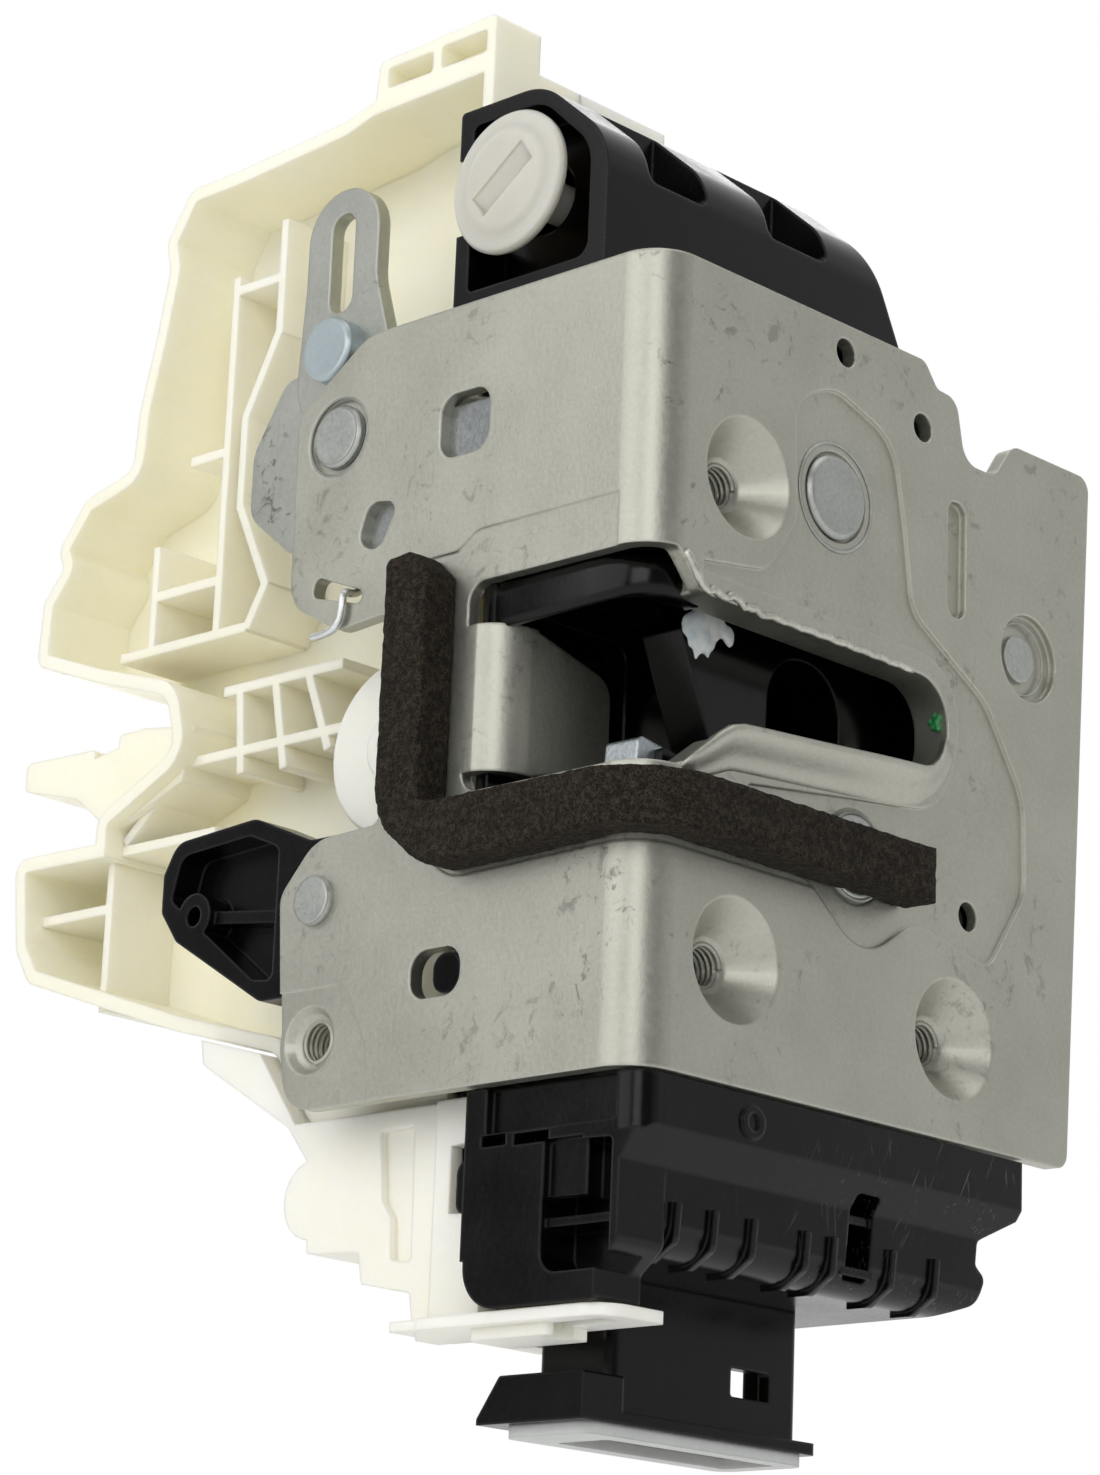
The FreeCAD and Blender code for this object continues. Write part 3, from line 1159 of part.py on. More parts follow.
# wedge on the near end that the plug's lever bears on
wedge_foot = socket_foot + 0.7
add(shell, "side", socket_left - 6.1, 6.6, [[
    (socket_front - 1.6, socket_foot), (socket_front - 1.6, socket_foot + 5.4, 0.4), (socket_back, socket_foot + 5.4, 0.6),
    (socket_back + 3.4, wedge_foot, 0.6), (socket_back + 3.4, socket_foot),
]])
opening = box(socket_left + socket_wall, socket_front + socket_wall, socket_right - socket_wall, socket_back - socket_wall, 0.8)
cut(shell, "top", socket_foot - 1, shell_height - socket_wall + 1, [opening])
window_foot = socket_foot + 5.5
cut(shell, "front", socket_front - 1, socket_wall + 1.5, [box(socket_right - 12.0, window_foot, socket_right - 5.1, window_foot + 3.3, 0.4)])
cut(shell, "front", socket_back - 4.5, 6.0, [box(socket_right - 6.0, window_foot - 0.5, socket_right + 1, window_foot + 7.4)])
seal = body("connector_seal")
seal_thick = size(1.4)
add(seal, "top", socket_foot - seal_thick, seal_thick, [
    box(socket_left - 4.6, socket_front - 0.9, socket_right + 0.9, socket_back + 0.9, 2.2),
])
cut(seal, "top", socket_foot - 4, 6, [opening])

terminals = body("connector_terminals")
terminal_width = named("terminal_width")
pitch = named("terminal_pitch")
insert_top = low_foot - socket_wall
insert_left = socket_left + socket_wall + gap
insert_front = socket_front + socket_wall + gap
insert_back = socket_back - socket_wall - gap
add(terminals, "top", insert_top - 2.0, 2.0, [box(insert_left, insert_front, socket_right - socket_wall - gap, insert_back, 0.6)])
pins = []
for column in range(5):
    for row in (insert_front + 1.8, insert_back - 1.8):
        left = insert_left + 2.4 + pitch * column - terminal_width / 2
        pins.append(box(left, row - terminal_width / 2, left + terminal_width, row + terminal_width / 2))
add(terminals, "top", socket_foot + 4.0, insert_top - socket_foot - 5.0, pins)

# Black side bracket behind the lower flange, and its rivet

bracket = body("side_bracket")
bracket_x = named("bracket_x") - 1 + gap
bracket_depth = named("bracket_depth") - gap
bracket_wall = named("bracket_wall")
bracket_outline = [
    (44.0, -14.4, 1), (50.0, -13.0, 3), (56.0, -13.0, 3), (66.0, -8.8, 4), (80.2, -9.8, 3), (82.4, -13.6, 1), (82.4, -18.4, 1),
    (79.4, -22.4, 1), (63.6, -31.8, 2), (46.0, -31.8, 2), (44.0, -28.0, 2),
]
add(bracket, "side", bracket_x, bracket_depth, [bracket_outline])
cut(bracket, "side", bracket_x - 1, bracket_depth - 0.8, [[
    (61.6, -13.0, 1.5), (67.0, -10.8, 2), (79.2, -11.6, 2), (80.8, -17.0, 1), (65.0, -29.0, 1.5), (61.6, -29.4, 1),
]])
add(bracket, "side", bracket_x, bracket_depth, [(76.4, -19.6, 2.9)])
add(bracket, "side", bracket_x + 1, bracket_depth - 1, [[(61.0, -20.6), (75.0, -19.0), (75.0, -20.6), (61.0, -22.2)]])
cut(bracket, "side", bracket_x - 1, bracket_depth + 2, [(76.4, -19.6, 1.25), (52.1, -21.5, 2.6)])
lower_rivet = body("lower_rivet")
turned(lower_rivet, "side", (52.1, -21.5), [
    (0, -0.9), (2.8, -0.9, 0.3), (3.05, -0.5), (3.05, 0), (2.55, 0), (2.55, bracket_x + bracket_depth), (3.6, bracket_x + bracket_depth),
    (3.2, bracket_x + bracket_depth + 0.9), (0, bracket_x + bracket_depth + 0.9),
])

# Cover screws, one node for all of them
SCREWS = [(46.0, 82.0), (88.0, 78.0), (90.0, 30.0), (46.0, -40.0)]
screws = doc.addObject("Part::Feature", "cover_screws")
screws.Label = "cover_screws"
made_screws = []
for across, up in SCREWS:
    head = Part.makeCylinder(3.2, 1.6, Vector(cover_back.number, across, up), Vector(1, 0, 0))
    drive = Part.makeCylinder(1.5, 1.2, Vector(cover_back.number + 0.8, across, up), Vector(1, 0, 0), 360)
    shank = Part.makeCylinder(1.25, 6, Vector(cover_back.number - 5.9, across, up), Vector(1, 0, 0))
    made_screws.append(head.fuse(shank).cut(drive))
screws.Shape = Part.makeCompound(made_screws)
bodies.append(screws)
for across, up in SCREWS:
    add(cover, "side", cover_back - 8, 7, [(across, up, 3.4)])
    cut(cover, "side", cover_back - 7, 10, [(across, up, 1.3)])

# Checks before anything is written

doc.recompute()
for thing in doc.Objects:
    if {"Invalid", "Error"} & set(thing.State):
        raise RuntimeError(f"{thing.Name} of {thing.Label} failed: {thing.State}")
for owner, before, after in cuts:
    if before is not None and not after.Shape.Volume < before.Shape.Volume - 1e-6:
        raise RuntimeError(f"{after.Name} of {owner} removes nothing")
for piece in bodies:
    if piece.Shape.isNull() or not piece.Shape.isValid() or not piece.Shape.Solids:
        raise RuntimeError(f"{piece.Label} has no valid solid")

os.makedirs("parts", exist_ok=True)
for piece in bodies:
    piece.Shape.exportStep(os.path.join("parts", piece.Label + ".step"))
    limits = piece.Shape.BoundBox
    print(f"{piece.Label:22s} solids {len(piece.Shape.Solids)} volume {piece.Shape.Volume:9.1f}"
          f" x {limits.XMin:6.1f} {limits.XMax:6.1f} y {limits.YMin:6.1f} {limits.YMax:6.1f} z {limits.ZMin:6.1f} {limits.ZMax:6.1f}")
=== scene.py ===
import math

import bmesh
import bpy
from mathutils import Matrix, Vector


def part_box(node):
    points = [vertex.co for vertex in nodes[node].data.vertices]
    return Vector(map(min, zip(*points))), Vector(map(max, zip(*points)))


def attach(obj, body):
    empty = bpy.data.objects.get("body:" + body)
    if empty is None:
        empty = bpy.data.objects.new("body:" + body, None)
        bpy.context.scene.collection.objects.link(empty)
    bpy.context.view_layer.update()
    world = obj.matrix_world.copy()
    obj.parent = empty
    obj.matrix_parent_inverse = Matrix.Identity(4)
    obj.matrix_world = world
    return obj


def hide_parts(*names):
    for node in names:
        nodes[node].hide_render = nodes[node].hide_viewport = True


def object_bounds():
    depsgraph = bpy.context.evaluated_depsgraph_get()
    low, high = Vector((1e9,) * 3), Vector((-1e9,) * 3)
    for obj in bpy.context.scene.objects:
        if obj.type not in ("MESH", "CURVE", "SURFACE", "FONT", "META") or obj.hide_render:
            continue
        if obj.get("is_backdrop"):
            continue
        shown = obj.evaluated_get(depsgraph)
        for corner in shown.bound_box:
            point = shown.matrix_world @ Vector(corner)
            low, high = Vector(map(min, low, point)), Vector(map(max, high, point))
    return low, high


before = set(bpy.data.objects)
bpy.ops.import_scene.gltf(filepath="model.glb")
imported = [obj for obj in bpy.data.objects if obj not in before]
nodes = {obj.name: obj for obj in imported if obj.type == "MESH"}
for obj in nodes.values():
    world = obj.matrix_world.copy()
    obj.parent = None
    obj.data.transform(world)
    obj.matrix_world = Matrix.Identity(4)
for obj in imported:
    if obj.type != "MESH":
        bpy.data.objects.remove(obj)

scene = bpy.context.scene
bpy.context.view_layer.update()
MM = 0.001


# The view, the light and the white surroundings. The camera stands a little
# below the latch, off the corner of its plate, and the floor lies well below
# it, so that the undersides are lit as well.
def level(channel):
    """A screen value from 0 to 255, as linear light."""
    channel = channel / 255
    return channel / 12.92 if channel <= 0.04045 else ((channel + 0.055) / 1.055) ** 2.4


def tone(red, green, blue):
    return (level(red), level(green), level(blue), 1.0)


def placed(label, data):
    """An object in the scene, for a mesh, a lamp or the camera."""
    made = bpy.data.objects.new(label, data)
    scene.collection.objects.link(made)
    return made


def node(tree, kind, links=(), **settings):
    """A node with its settings, each socket linked to an output or set to a value."""
    made = tree.nodes.new(kind)
    for key, value in settings.items():
        setattr(made, key, value)
    for socket, value in links:
        if isinstance(value, bpy.types.NodeSocket):
            tree.links.new(value, made.inputs[socket])
        else:
            made.inputs[socket].default_value = value
    return made


def combine(tree, operation, first, second):
    return node(tree, "ShaderNodeMath", [(0, first), (1, second)], operation=operation).outputs[0]


def span(tree, value, low, high, to_low=0.0, to_high=1.0):
    """A value brought from one range to another, and held within it."""
    made = node(tree, "ShaderNodeMapRange", [
        ("Value", value), ("From Min", low), ("From Max", high), ("To Min", to_low), ("To Max", to_high)])
    return made.outputs["Result"]


VIEW_PLACE = Vector((-326.75, -300.99, -136.65)) * MM
VIEW_AHEAD = Vector((0.6918, 0.6685, 0.2731)).normalized()
VIEW_ACROSS = Vector((0.6865, -0.7261, 0.0384)).normalized()
FOCAL_LENGTH = 102.05

scene.view_settings.view_transform = "Standard"
camera_data = bpy.data.cameras.new("camera")
camera_data.lens = FOCAL_LENGTH
camera_data.sensor_width = 36
camera_data.clip_start = 0.01
camera = placed("camera", camera_data)
scene.camera = camera
view_up = VIEW_ACROSS.cross(VIEW_AHEAD).normalized()
view_turn = Matrix((VIEW_ACROSS, view_up, -VIEW_AHEAD)).transposed()
camera.matrix_world = Matrix.Translation(VIEW_PLACE) @ view_turn.to_4x4()

# Polished faces reflect the white behind the latch, and a dimmer studio on the
# side where its front looks
TOWARDS_WHITE = (0.69, 0.67, 0.27)
DIM_STUDIO = 0.17
SOFT_LIGHT = 0.5
WHITE_STRENGTH = 1.0
world = bpy.data.worlds.new("surroundings")
world.use_nodes = True
scene.world = world
tree = world.node_tree
background = tree.nodes["Background"]
background.inputs["Color"].default_value = (1, 1, 1, 1)
rays = node(tree, "ShaderNodeLightPath")
outlook = node(tree, "ShaderNodeTexCoord")
whiteness = node(tree, "ShaderNodeVectorMath", [
    (0, outlook.outputs["Generated"]), (1, TOWARDS_WHITE)], operation="DOT_PRODUCT")
mirrored = span(tree, whiteness.outputs["Value"], 0.0, 0.8, DIM_STUDIO, WHITE_STRENGTH)
lit = node(tree, "ShaderNodeMix", [
    ("Factor", rays.outputs["Is Glossy Ray"]), ("A", SOFT_LIGHT), ("B", mirrored)])
seen = combine(tree, "MAXIMUM", rays.outputs["Is Camera Ray"], rays.outputs["Is Transmission Ray"])
strength = node(tree, "ShaderNodeMix", [
    ("Factor", seen), ("A", lit.outputs["Result"]), ("B", WHITE_STRENGTH)])
tree.links.new(strength.outputs["Result"], background.inputs["Strength"])

LATCH_MIDDLE = Vector((0.03, 0.04, 0.0))
LAMP_DISTANCE = 0.8
SOFTBOXES = {
    "left": ((-1.0, 0.2, 0.45), 0.8, 3.0),
    "front": ((-0.72, -0.62, 0.3), 0.42, 1.4),
    "right": ((0.7, -0.85, 0.3), 0.8, 0.55),
    "top": ((0.0, -0.3, 1.0), 0.6, 1.5),
    "rear": ((0.7, 0.9, 0.5), 0.6, 1.4),
    "below": ((-0.5, -0.3, -0.8), 0.6, 0.9),
}
for name, (side, width, power) in SOFTBOXES.items():
    lamp = bpy.data.lights.new(name, "AREA")
    lamp.size = width
    lamp.energy = power
    holder = placed(name, lamp)
    side = Vector(side).normalized()
    holder.location = LATCH_MIDDLE + side * LAMP_DISTANCE
    holder.rotation_mode = "QUATERNION"
    holder.rotation_quaternion = side.to_track_quat("Z", "Y")

# The floor is matt and pale, and shows from above only. The eye, polished
# faces and glass see it nearly white, with the latch's soft shadow on it.
FLOOR_LEVEL = -0.30
FLOOR_REACH = 6.0
FLOOR_WHITENESS = 0.82
floor_corners = [
    (across * FLOOR_REACH, back * FLOOR_REACH, FLOOR_LEVEL)
    for across, back in ((-1, -1), (1, -1), (1, 1), (-1, 1))]
floor_mesh = bpy.data.meshes.new("floor")
floor_mesh.from_pydata(floor_corners, [], [(0, 1, 2, 3)])
floor = placed("floor", floor_mesh)
floor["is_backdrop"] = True
paint = bpy.data.materials.new("floor_paint")
paint.use_nodes = True
tree = paint.node_tree
surface = tree.nodes["Principled BSDF"]
surface.inputs["Base Color"].default_value = tone(244, 244, 242)
surface.inputs["Roughness"].default_value = 0.8
white = node(tree, "ShaderNodeEmission", [("Color", (1, 1, 1, 1))])
rays = node(tree, "ShaderNodeLightPath")
seen = combine(tree, "MAXIMUM", rays.outputs["Is Camera Ray"], rays.outputs["Is Glossy Ray"])
seen = combine(tree, "MAXIMUM", seen, rays.outputs["Is Transmission Ray"])
shown = node(tree, "ShaderNodeMixShader", [
    ("Fac", combine(tree, "MULTIPLY", seen, FLOOR_WHITENESS)), (1, surface.outputs[0]), (2, white.outputs[0])])
clear = node(tree, "ShaderNodeBsdfTransparent")
side_seen = node(tree, "ShaderNodeNewGeometry")
one_sided = node(tree, "ShaderNodeMixShader", [
    ("Fac", side_seen.outputs["Backfacing"]), (1, shown.outputs[0]), (2, clear.outputs[0])])
tree.links.new(one_sided.outputs[0], tree.nodes["Material Output"].inputs["Surface"])
floor_mesh.materials.append(paint)


# Steel mounting plate. One folded sheet of zinc plated steel, pressed and
# pierced, satin grey with a fine grain, and rubbed dark along the bend where
# it was handled. Its four screw seats are tapped.
FLOAT, VECTOR = "NodeSocketFloat", "NodeSocketVector"


def new_group(name, inputs, outputs):
    """A shader group with named inputs, each with its kind and value, and named outputs."""
    group = bpy.data.node_groups.new(name, "ShaderNodeTree")
    for label, kind, value in inputs:
        socket = group.interface.new_socket(label, in_out="INPUT", socket_type=kind)
        socket.default_value = value
    for label, kind in outputs:
        group.interface.new_socket(label, in_out="OUTPUT", socket_type=kind)
    return group, group.nodes.new("NodeGroupInput"), group.nodes.new("NodeGroupOutput")


def noise(tree, place, scale, detail, roughness=0.5, distortion=0.0):
    """Soft noise at a place, 0.5 on average."""
    made = node(tree, "ShaderNodeTexNoise", [
        ("Vector", place), ("Scale", scale), ("Detail", detail), ("Roughness", roughness),
        ("Distortion", distortion)])
    return made.outputs["Fac"]


# Softened edges: a small rounding of the shading, and a mask of the edges
soft_edges, start, end = new_group(
    "soft_edges", [("Radius", FLOAT, 0.0004)], [("Normal", VECTOR), ("Edge", FLOAT)])
rounding = node(soft_edges, "ShaderNodeBevel", [("Radius", start.outputs["Radius"])], samples=4)
facing = node(soft_edges, "ShaderNodeNewGeometry")
bent = node(soft_edges, "ShaderNodeVectorMath", [
    (0, rounding.outputs[0]), (1, facing.outputs["Normal"])], operation="DOT_PRODUCT")
soft_edges.links.new(rounding.outputs[0], end.inputs["Normal"])
soft_edges.links.new(span(soft_edges, bent.outputs["Value"], 0.99, 0.82), end.inputs["Edge"])

# Mottle: uneven tone at two scales, 0.5 on average
mottle, start, end = new_group(
    "mottle", [("Coarse", FLOAT, 60.0), ("Fine", FLOAT, 900.0), ("Mix", FLOAT, 0.5)],
    [("Value", FLOAT), ("Fine", FLOAT)])
place = node(mottle, "ShaderNodeTexCoord").outputs["Object"]
coarse = noise(mottle, place, start.outputs["Coarse"], 4.0, 0.6)
fine = noise(mottle, place, start.outputs["Fine"], 2.0, 0.7)
blend = node(mottle, "ShaderNodeMix", [("Factor", start.outputs["Mix"]), ("A", coarse), ("B", fine)])
mottle.links.new(blend.outputs["Result"], end.inputs["Value"])
mottle.links.new(fine, end.inputs["Fine"])

# Rub marks: dark dabs a millimetre or two across, gathered in patches
rub_marks, start, end = new_group(
    "rub_marks", [("Scale", FLOAT, 260.0), ("Patch", FLOAT, 45.0), ("Cover", FLOAT, 0.5)],
    [("Mask", FLOAT)])
place = node(rub_marks, "ShaderNodeTexCoord").outputs["Object"]
dabs = noise(rub_marks, place, start.outputs["Scale"], 5.0, 0.68, 0.6)
patch = noise(rub_marks, place, start.outputs["Patch"], 2.0)
lift = combine(rub_marks, "ADD", patch, start.outputs["Cover"])
both = combine(rub_marks, "MULTIPLY", dabs, lift)
rub_marks.links.new(span(rub_marks, both, 0.60, 0.70), end.inputs["Mask"])

# Scratches: thin straight lines one way, broken here and there
scratches, start, end = new_group(
    "scratches", [
        ("Length", FLOAT, 30.0), ("Crowd", FLOAT, 500.0), ("Turn", VECTOR, (0.0, 0.0, 0.0)),
        ("Rare", FLOAT, 0.66)],
    [("Mask", FLOAT)])
place = node(scratches, "ShaderNodeTexCoord").outputs["Object"]
turned = node(scratches, "ShaderNodeVectorRotate", [
    ("Vector", place), ("Rotation", start.outputs["Turn"])], rotation_type="EULER_XYZ")
stretch = node(scratches, "ShaderNodeCombineXYZ", [
    ("X", start.outputs["Length"]), ("Y", start.outputs["Crowd"]), ("Z", start.outputs["Crowd"])])
drawn = node(scratches, "ShaderNodeVectorMath", [
    (0, turned.outputs[0]), (1, stretch.outputs[0])], operation="MULTIPLY")
streaks = noise(scratches, drawn.outputs[0], 1.0, 1.0, 0.4)
line = span(scratches, streaks, start.outputs["Rare"], 0.8)
gate = span(scratches, noise(scratches, place, 220.0, 1.0), 0.47, 0.55)
scratches.links.new(combine(scratches, "MULTIPLY", line, gate), end.inputs["Mask"])


def use(tree, group, links=()):
    """One placing of a shared effect, with its own values."""
    return node(tree, "ShaderNodeGroup", links, node_tree=group)


def new_finish(name, **plain):
    """A material with its Principled surface; plain values go on its own sockets."""
    made = bpy.data.materials.new(name)
    made.use_nodes = True
    surface = made.node_tree.nodes["Principled BSDF"]
    for label, value in plain.items():
        surface.inputs[label.replace("_", " ")].default_value = value
    return made, made.node_tree, surface


def mix_tone(tree, factor, first, second):
    made = node(tree, "ShaderNodeMix", [(0, factor), (6, first), (7, second)], data_type="RGBA")
    return made.outputs[2]


def laid_over(tree, base, mask, amount, colour):
    """A colour laid over the base where the mask is, as strongly as the amount says."""
    return mix_tone(tree, combine(tree, "MULTIPLY", mask, amount), base, colour)


def finish_with(tree, surface, colour, roughness, grain, depth, tones, edges):
    """The colour, the roughness and a fine grain over the softened edges."""
    tree.links.new(colour, surface.inputs["Base Color"])
    tree.links.new(roughness, surface.inputs["Roughness"])
    bump = node(tree, "ShaderNodeBump", [
        ("Strength", grain), ("Distance", depth), ("Height", tones.outputs["Fine"]),
        ("Normal", edges.outputs["Normal"])])
    tree.links.new(bump.outputs[0], surface.inputs["Normal"])


EDGE_RADIUS = 0.5 * MM
RUBBED_TONE = tone(84, 82, 76)
SCRATCHED_TONE = tone(205, 205, 196)
EDGE_HIGHLIGHT_TONE = tone(222, 221, 212)


def sheet_steel(name, colour, dark, rough, grain, marks, near_bend=False, scratched=0.12):
    """Plated sheet: mottled tone, a painted highlight along the edges, dark rub marks and a fine grain."""
    made, tree, surface = new_finish(name, Metallic=0.92)
    edges = use(tree, soft_edges, [("Radius", EDGE_RADIUS)])
    tones = use(tree, mottle, [("Coarse", 70.0), ("Fine", 1600.0), ("Mix", 0.45)])
    rubbed = use(tree, rub_marks, [("Scale", 420.0), ("Patch", 60.0), ("Cover", marks)])
    lines = use(tree, scratches, [
        ("Turn", (0.3, 0.5, 0.9)), ("Length", 60.0), ("Crowd", 2600.0), ("Rare", 0.7)])
    mask = rubbed.outputs["Mask"]
    if near_bend:
        place = node(tree, "ShaderNodeTexCoord")
        apart = node(tree, "ShaderNodeSeparateXYZ", [(0, place.outputs["Object"])])
        off = combine(tree, "MAXIMUM", apart.outputs["X"], apart.outputs["Y"])
        mask = combine(tree, "MULTIPLY", mask, span(tree, off, 0.003, 0.014, 1.0, 0.45))
    base = mix_tone(tree, span(tree, tones.outputs["Value"], 0.35, 0.65), dark, colour)
    marked = laid_over(tree, base, mask, 0.7, RUBBED_TONE)
    marked = laid_over(tree, marked, lines.outputs["Mask"], scratched, SCRATCHED_TONE)
    # Painted highlight: the edges are laid over with a pale tone, for light caught on them.
    bright = laid_over(tree, marked, edges.outputs["Edge"], 0.5, EDGE_HIGHLIGHT_TONE)
    roughness = span(tree, tones.outputs["Value"], 0.3, 0.7, rough - 0.05, rough + 0.07)
    finish_with(tree, surface, bright, roughness, grain, 0.00006, tones, edges)
    return made


def dress(material, *names):
    for name in names:
        slots = nodes[name].data.materials
        slots.clear()
        slots.append(material)


zinc = sheet_steel("zinc_sheet", tone(188, 188, 177), tone(172, 172, 161), 0.42, 0.5, 0.46, near_bend=True)
dress(zinc, "latch_plate", "back_plate")


# Thread of the screw seats. Tapped into the collars of the three conical seats
# and of the one on the flange: a wound ridge, put into each of the four.
SEATS = [
    ((16.0, 4.7, 24.8), (-90, 0, 0)),
    ((16.0, 4.7, -32.3), (-90, 0, 0)),
    ((55.3, 4.7, -34.3), (-90, 0, 0)),
    ((1.5, 52.2, -38.2), (0, 90, 0)),
]
THREAD_RADIUS = 2.5 * MM
THREAD_LENGTH = 4.0 * MM
THREAD_TURNS = 5
THREAD_RIDGE = 0.34 * MM


def new_shape(name, points, **turns):
    """An object of loose points, each with its own values of the named attributes."""
    mesh = bpy.data.meshes.new(name)
    mesh.from_pydata(points, [], [])
    for label, values in turns.items():
        kept = mesh.attributes.new(label, "FLOAT_VECTOR", "POINT")
        for spot, value in zip(kept.data, values):
            spot.vector = value
    return placed(name, mesh)


def new_recipe(name, sizes):
    """A Geometry Nodes tree with a named input for each of its sizes."""
    group = bpy.data.node_groups.new(name, "GeometryNodeTree")
    group.interface.new_socket("Geometry", in_out="INPUT", socket_type="NodeSocketGeometry")
    for label in sizes:
        group.interface.new_socket(label, in_out="INPUT", socket_type=FLOAT)
    group.interface.new_socket("Geometry", in_out="OUTPUT", socket_type="NodeSocketGeometry")
    return group, group.nodes.new("NodeGroupInput"), group.nodes.new("NodeGroupOutput")


def applied(thing):
    """The object with its modifiers turned into plain mesh."""
    bpy.context.view_layer.update()
    graph = bpy.context.evaluated_depsgraph_get()
    mesh = bpy.data.meshes.new_from_object(thing.evaluated_get(graph))
    thing.modifiers.clear()
    thing.data = mesh
    return thing


def smooth(thing):
    for face in thing.data.polygons:
        face.use_smooth = True
    return thing


def repeated(thing, recipe, start, end, shape, material, sizes, **fields):
    """The shape at each point of the object, with the turn and scale that the points carry."""
    spots = [("Points", start.outputs["Geometry"]), ("Instance", shape)]
    for socket, attribute in fields.items():
        read = node(recipe, "GeometryNodeInputNamedAttribute", [("Name", attribute)], data_type="FLOAT_VECTOR")
        spots.append((socket, read.outputs["Attribute"]))
    spread = node(recipe, "GeometryNodeInstanceOnPoints", spots)
    real = node(recipe, "GeometryNodeRealizeInstances", [(0, spread.outputs[0])])
    painted = node(recipe, "GeometryNodeSetMaterial", [(0, real.outputs[0]), ("Material", material)])
    recipe.links.new(painted.outputs[0], end.inputs["Geometry"])
    modifier = thing.modifiers.new(recipe.name, "NODES")
    modifier.node_group = recipe
    for socket in recipe.interface.items_tree:
        if socket.name in sizes:
            modifier[socket.identifier] = float(sizes[socket.name])
    return smooth(applied(thing))


thread = new_shape(
    "thread_turns", [Vector(place) * MM for place, turn in SEATS],
    seat_turn=[[math.radians(angle) for angle in turn] for place, turn in SEATS])
thread_sizes = {"Radius": THREAD_RADIUS, "Length": THREAD_LENGTH, "Turns": THREAD_TURNS, "Ridge": THREAD_RIDGE}
recipe, start, end = new_recipe("wound_ridge", thread_sizes)
winding = node(recipe, "GeometryNodeCurveSpiral", [
    ("Resolution", 40), ("Rotations", start.outputs["Turns"]), ("Start Radius", start.outputs["Radius"]),
    ("End Radius", start.outputs["Radius"]), ("Height", start.outputs["Length"])])
ridge = node(recipe, "GeometryNodeCurvePrimitiveCircle", [
    ("Resolution", 6), ("Radius", start.outputs["Ridge"])])
wound = node(recipe, "GeometryNodeCurveToMesh", [
    ("Curve", winding.outputs[0]), ("Profile Curve", ridge.outputs[0])])
repeated(thread, recipe, start, end, wound.outputs[0], zinc, thread_sizes, Rotation="seat_turn")
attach(thread, "frame")


# Inner strip. A flat strip of bare sheet steel that shows through the holes of
# the flange, just behind its outer face.
STRIP_OUTLINE = [
    (16.5, 22.0), (17.5, 21.0), (31.0, 21.0), (38.6, 18.6), (47.8, 18.6), (48.8, 19.6), (48.8, 28.5),
    (46.5, 30.0), (36.0, 37.0), (17.5, 37.0), (16.5, 36.0),
]
STRIP_OUTSIDE = 1.62
STRIP_INSIDE = 1.84


def face_outwards(mesh):
    shell = bmesh.new()
    shell.from_mesh(mesh)
    bmesh.ops.recalc_face_normals(shell, faces=shell.faces)
    shell.to_mesh(mesh)
    shell.free()


def skin(label, shells, material):
    """A mesh over rings of points in millimetres, each shell closed at its two ends."""
    points, faces = [], []
    for rings in shells:
        first, count = len(points), len(rings[0])
        for ring in rings:
            points += [Vector(point) * MM for point in ring]
        for step in range(len(rings) - 1):
            for spot in range(count):
                here = first + step * count + spot
                beside = first + step * count + (spot + 1) % count
                faces.append((here, beside, beside + count, here + count))
        faces.append(tuple(reversed(range(first, first + count))))
        faces.append(tuple(range(len(points) - count, len(points))))
    mesh = bpy.data.meshes.new(label)
    mesh.from_pydata(points, [], faces)
    face_outwards(mesh)
    mesh.materials.append(material)
    return placed(label, mesh)


strip_metal = sheet_steel("inner_sheet", tone(160, 163, 163), tone(126, 129, 130), 0.36, 0.5, 0.42)
strip_rings = [[(x, y, z) for y, z in STRIP_OUTLINE] for x in (STRIP_OUTSIDE, STRIP_INSIDE)]
strip = skin("inner_strip", [strip_rings], strip_metal)
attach(strip, "frame")


# Edges of the mouth. Below it the sheet is rolled outwards to a soft lip, and
# above it the shears left a thin torn edge, raw and bright. Both are bent out
# of the plate itself.
LIP_OUTLINE = [
    (-0.7, -4.6), (0.0, -4.3), (0.2, -3.6), (0.45, -2.9), (0.85, -2.3), (1.35, -1.75), (1.9, -1.1),
    (2.35, -0.5), (2.6, 0.05), (2.6, 0.45), (2.3, 0.75), (1.7, 0.8), (0.8, 0.55), (-0.2, 0.25),
    (-0.9, -0.2),
]
LIP_RUN = [
    (5.6, -12.6, 0.5, 0.1), (7.4, -10.8, 0.1, 0.35), (9.2, -9.2, 0.0, 0.7), (10.8, -7.8, 0.0, 0.92),
    (12.2, -6.9, 0.0, 1.0), (14.0, -6.4, 0.0, 1.0), (18.0, -6.05, 0.0, 1.0), (24.0, -5.6, 0.0, 1.0),
    (31.0, -5.05, 0.0, 1.0), (38.0, -4.45, 0.0, 1.0), (44.0, -3.95, 0.0, 0.95),
    (47.2, -3.55, 0.0, 0.8), (49.4, -2.75, 0.0, 0.6), (51.2, -1.5, 0.0, 0.4), (52.4, 0.0, 0.0, 0.24),
    (53.2, 2.0, 0.0, 0.1),
]
LEAST_WIDTH = 0.35


def swept(label, path, outline, material):
    """An outline (out, up) led along a path (x, z, y, size) on the plate's face."""
    rings = []
    for step, (x, z, y, size) in enumerate(path):
        before, after = path[max(step - 1, 0)], path[min(step + 1, len(path) - 1)]
        run = Vector((after[0] - before[0], after[1] - before[1])).normalized()
        width = LEAST_WIDTH + (1 - LEAST_WIDTH) * size
        rings.append([
            (x - run.y * up * width, y - out * (size if out > 0 else 1), z + run.x * up * width)
            for out, up in outline])
    return smooth(skin(label, [rings], material))


mouth_lip = swept("mouth_lip", LIP_RUN, LIP_OUTLINE, zinc)
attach(mouth_lip, "frame")

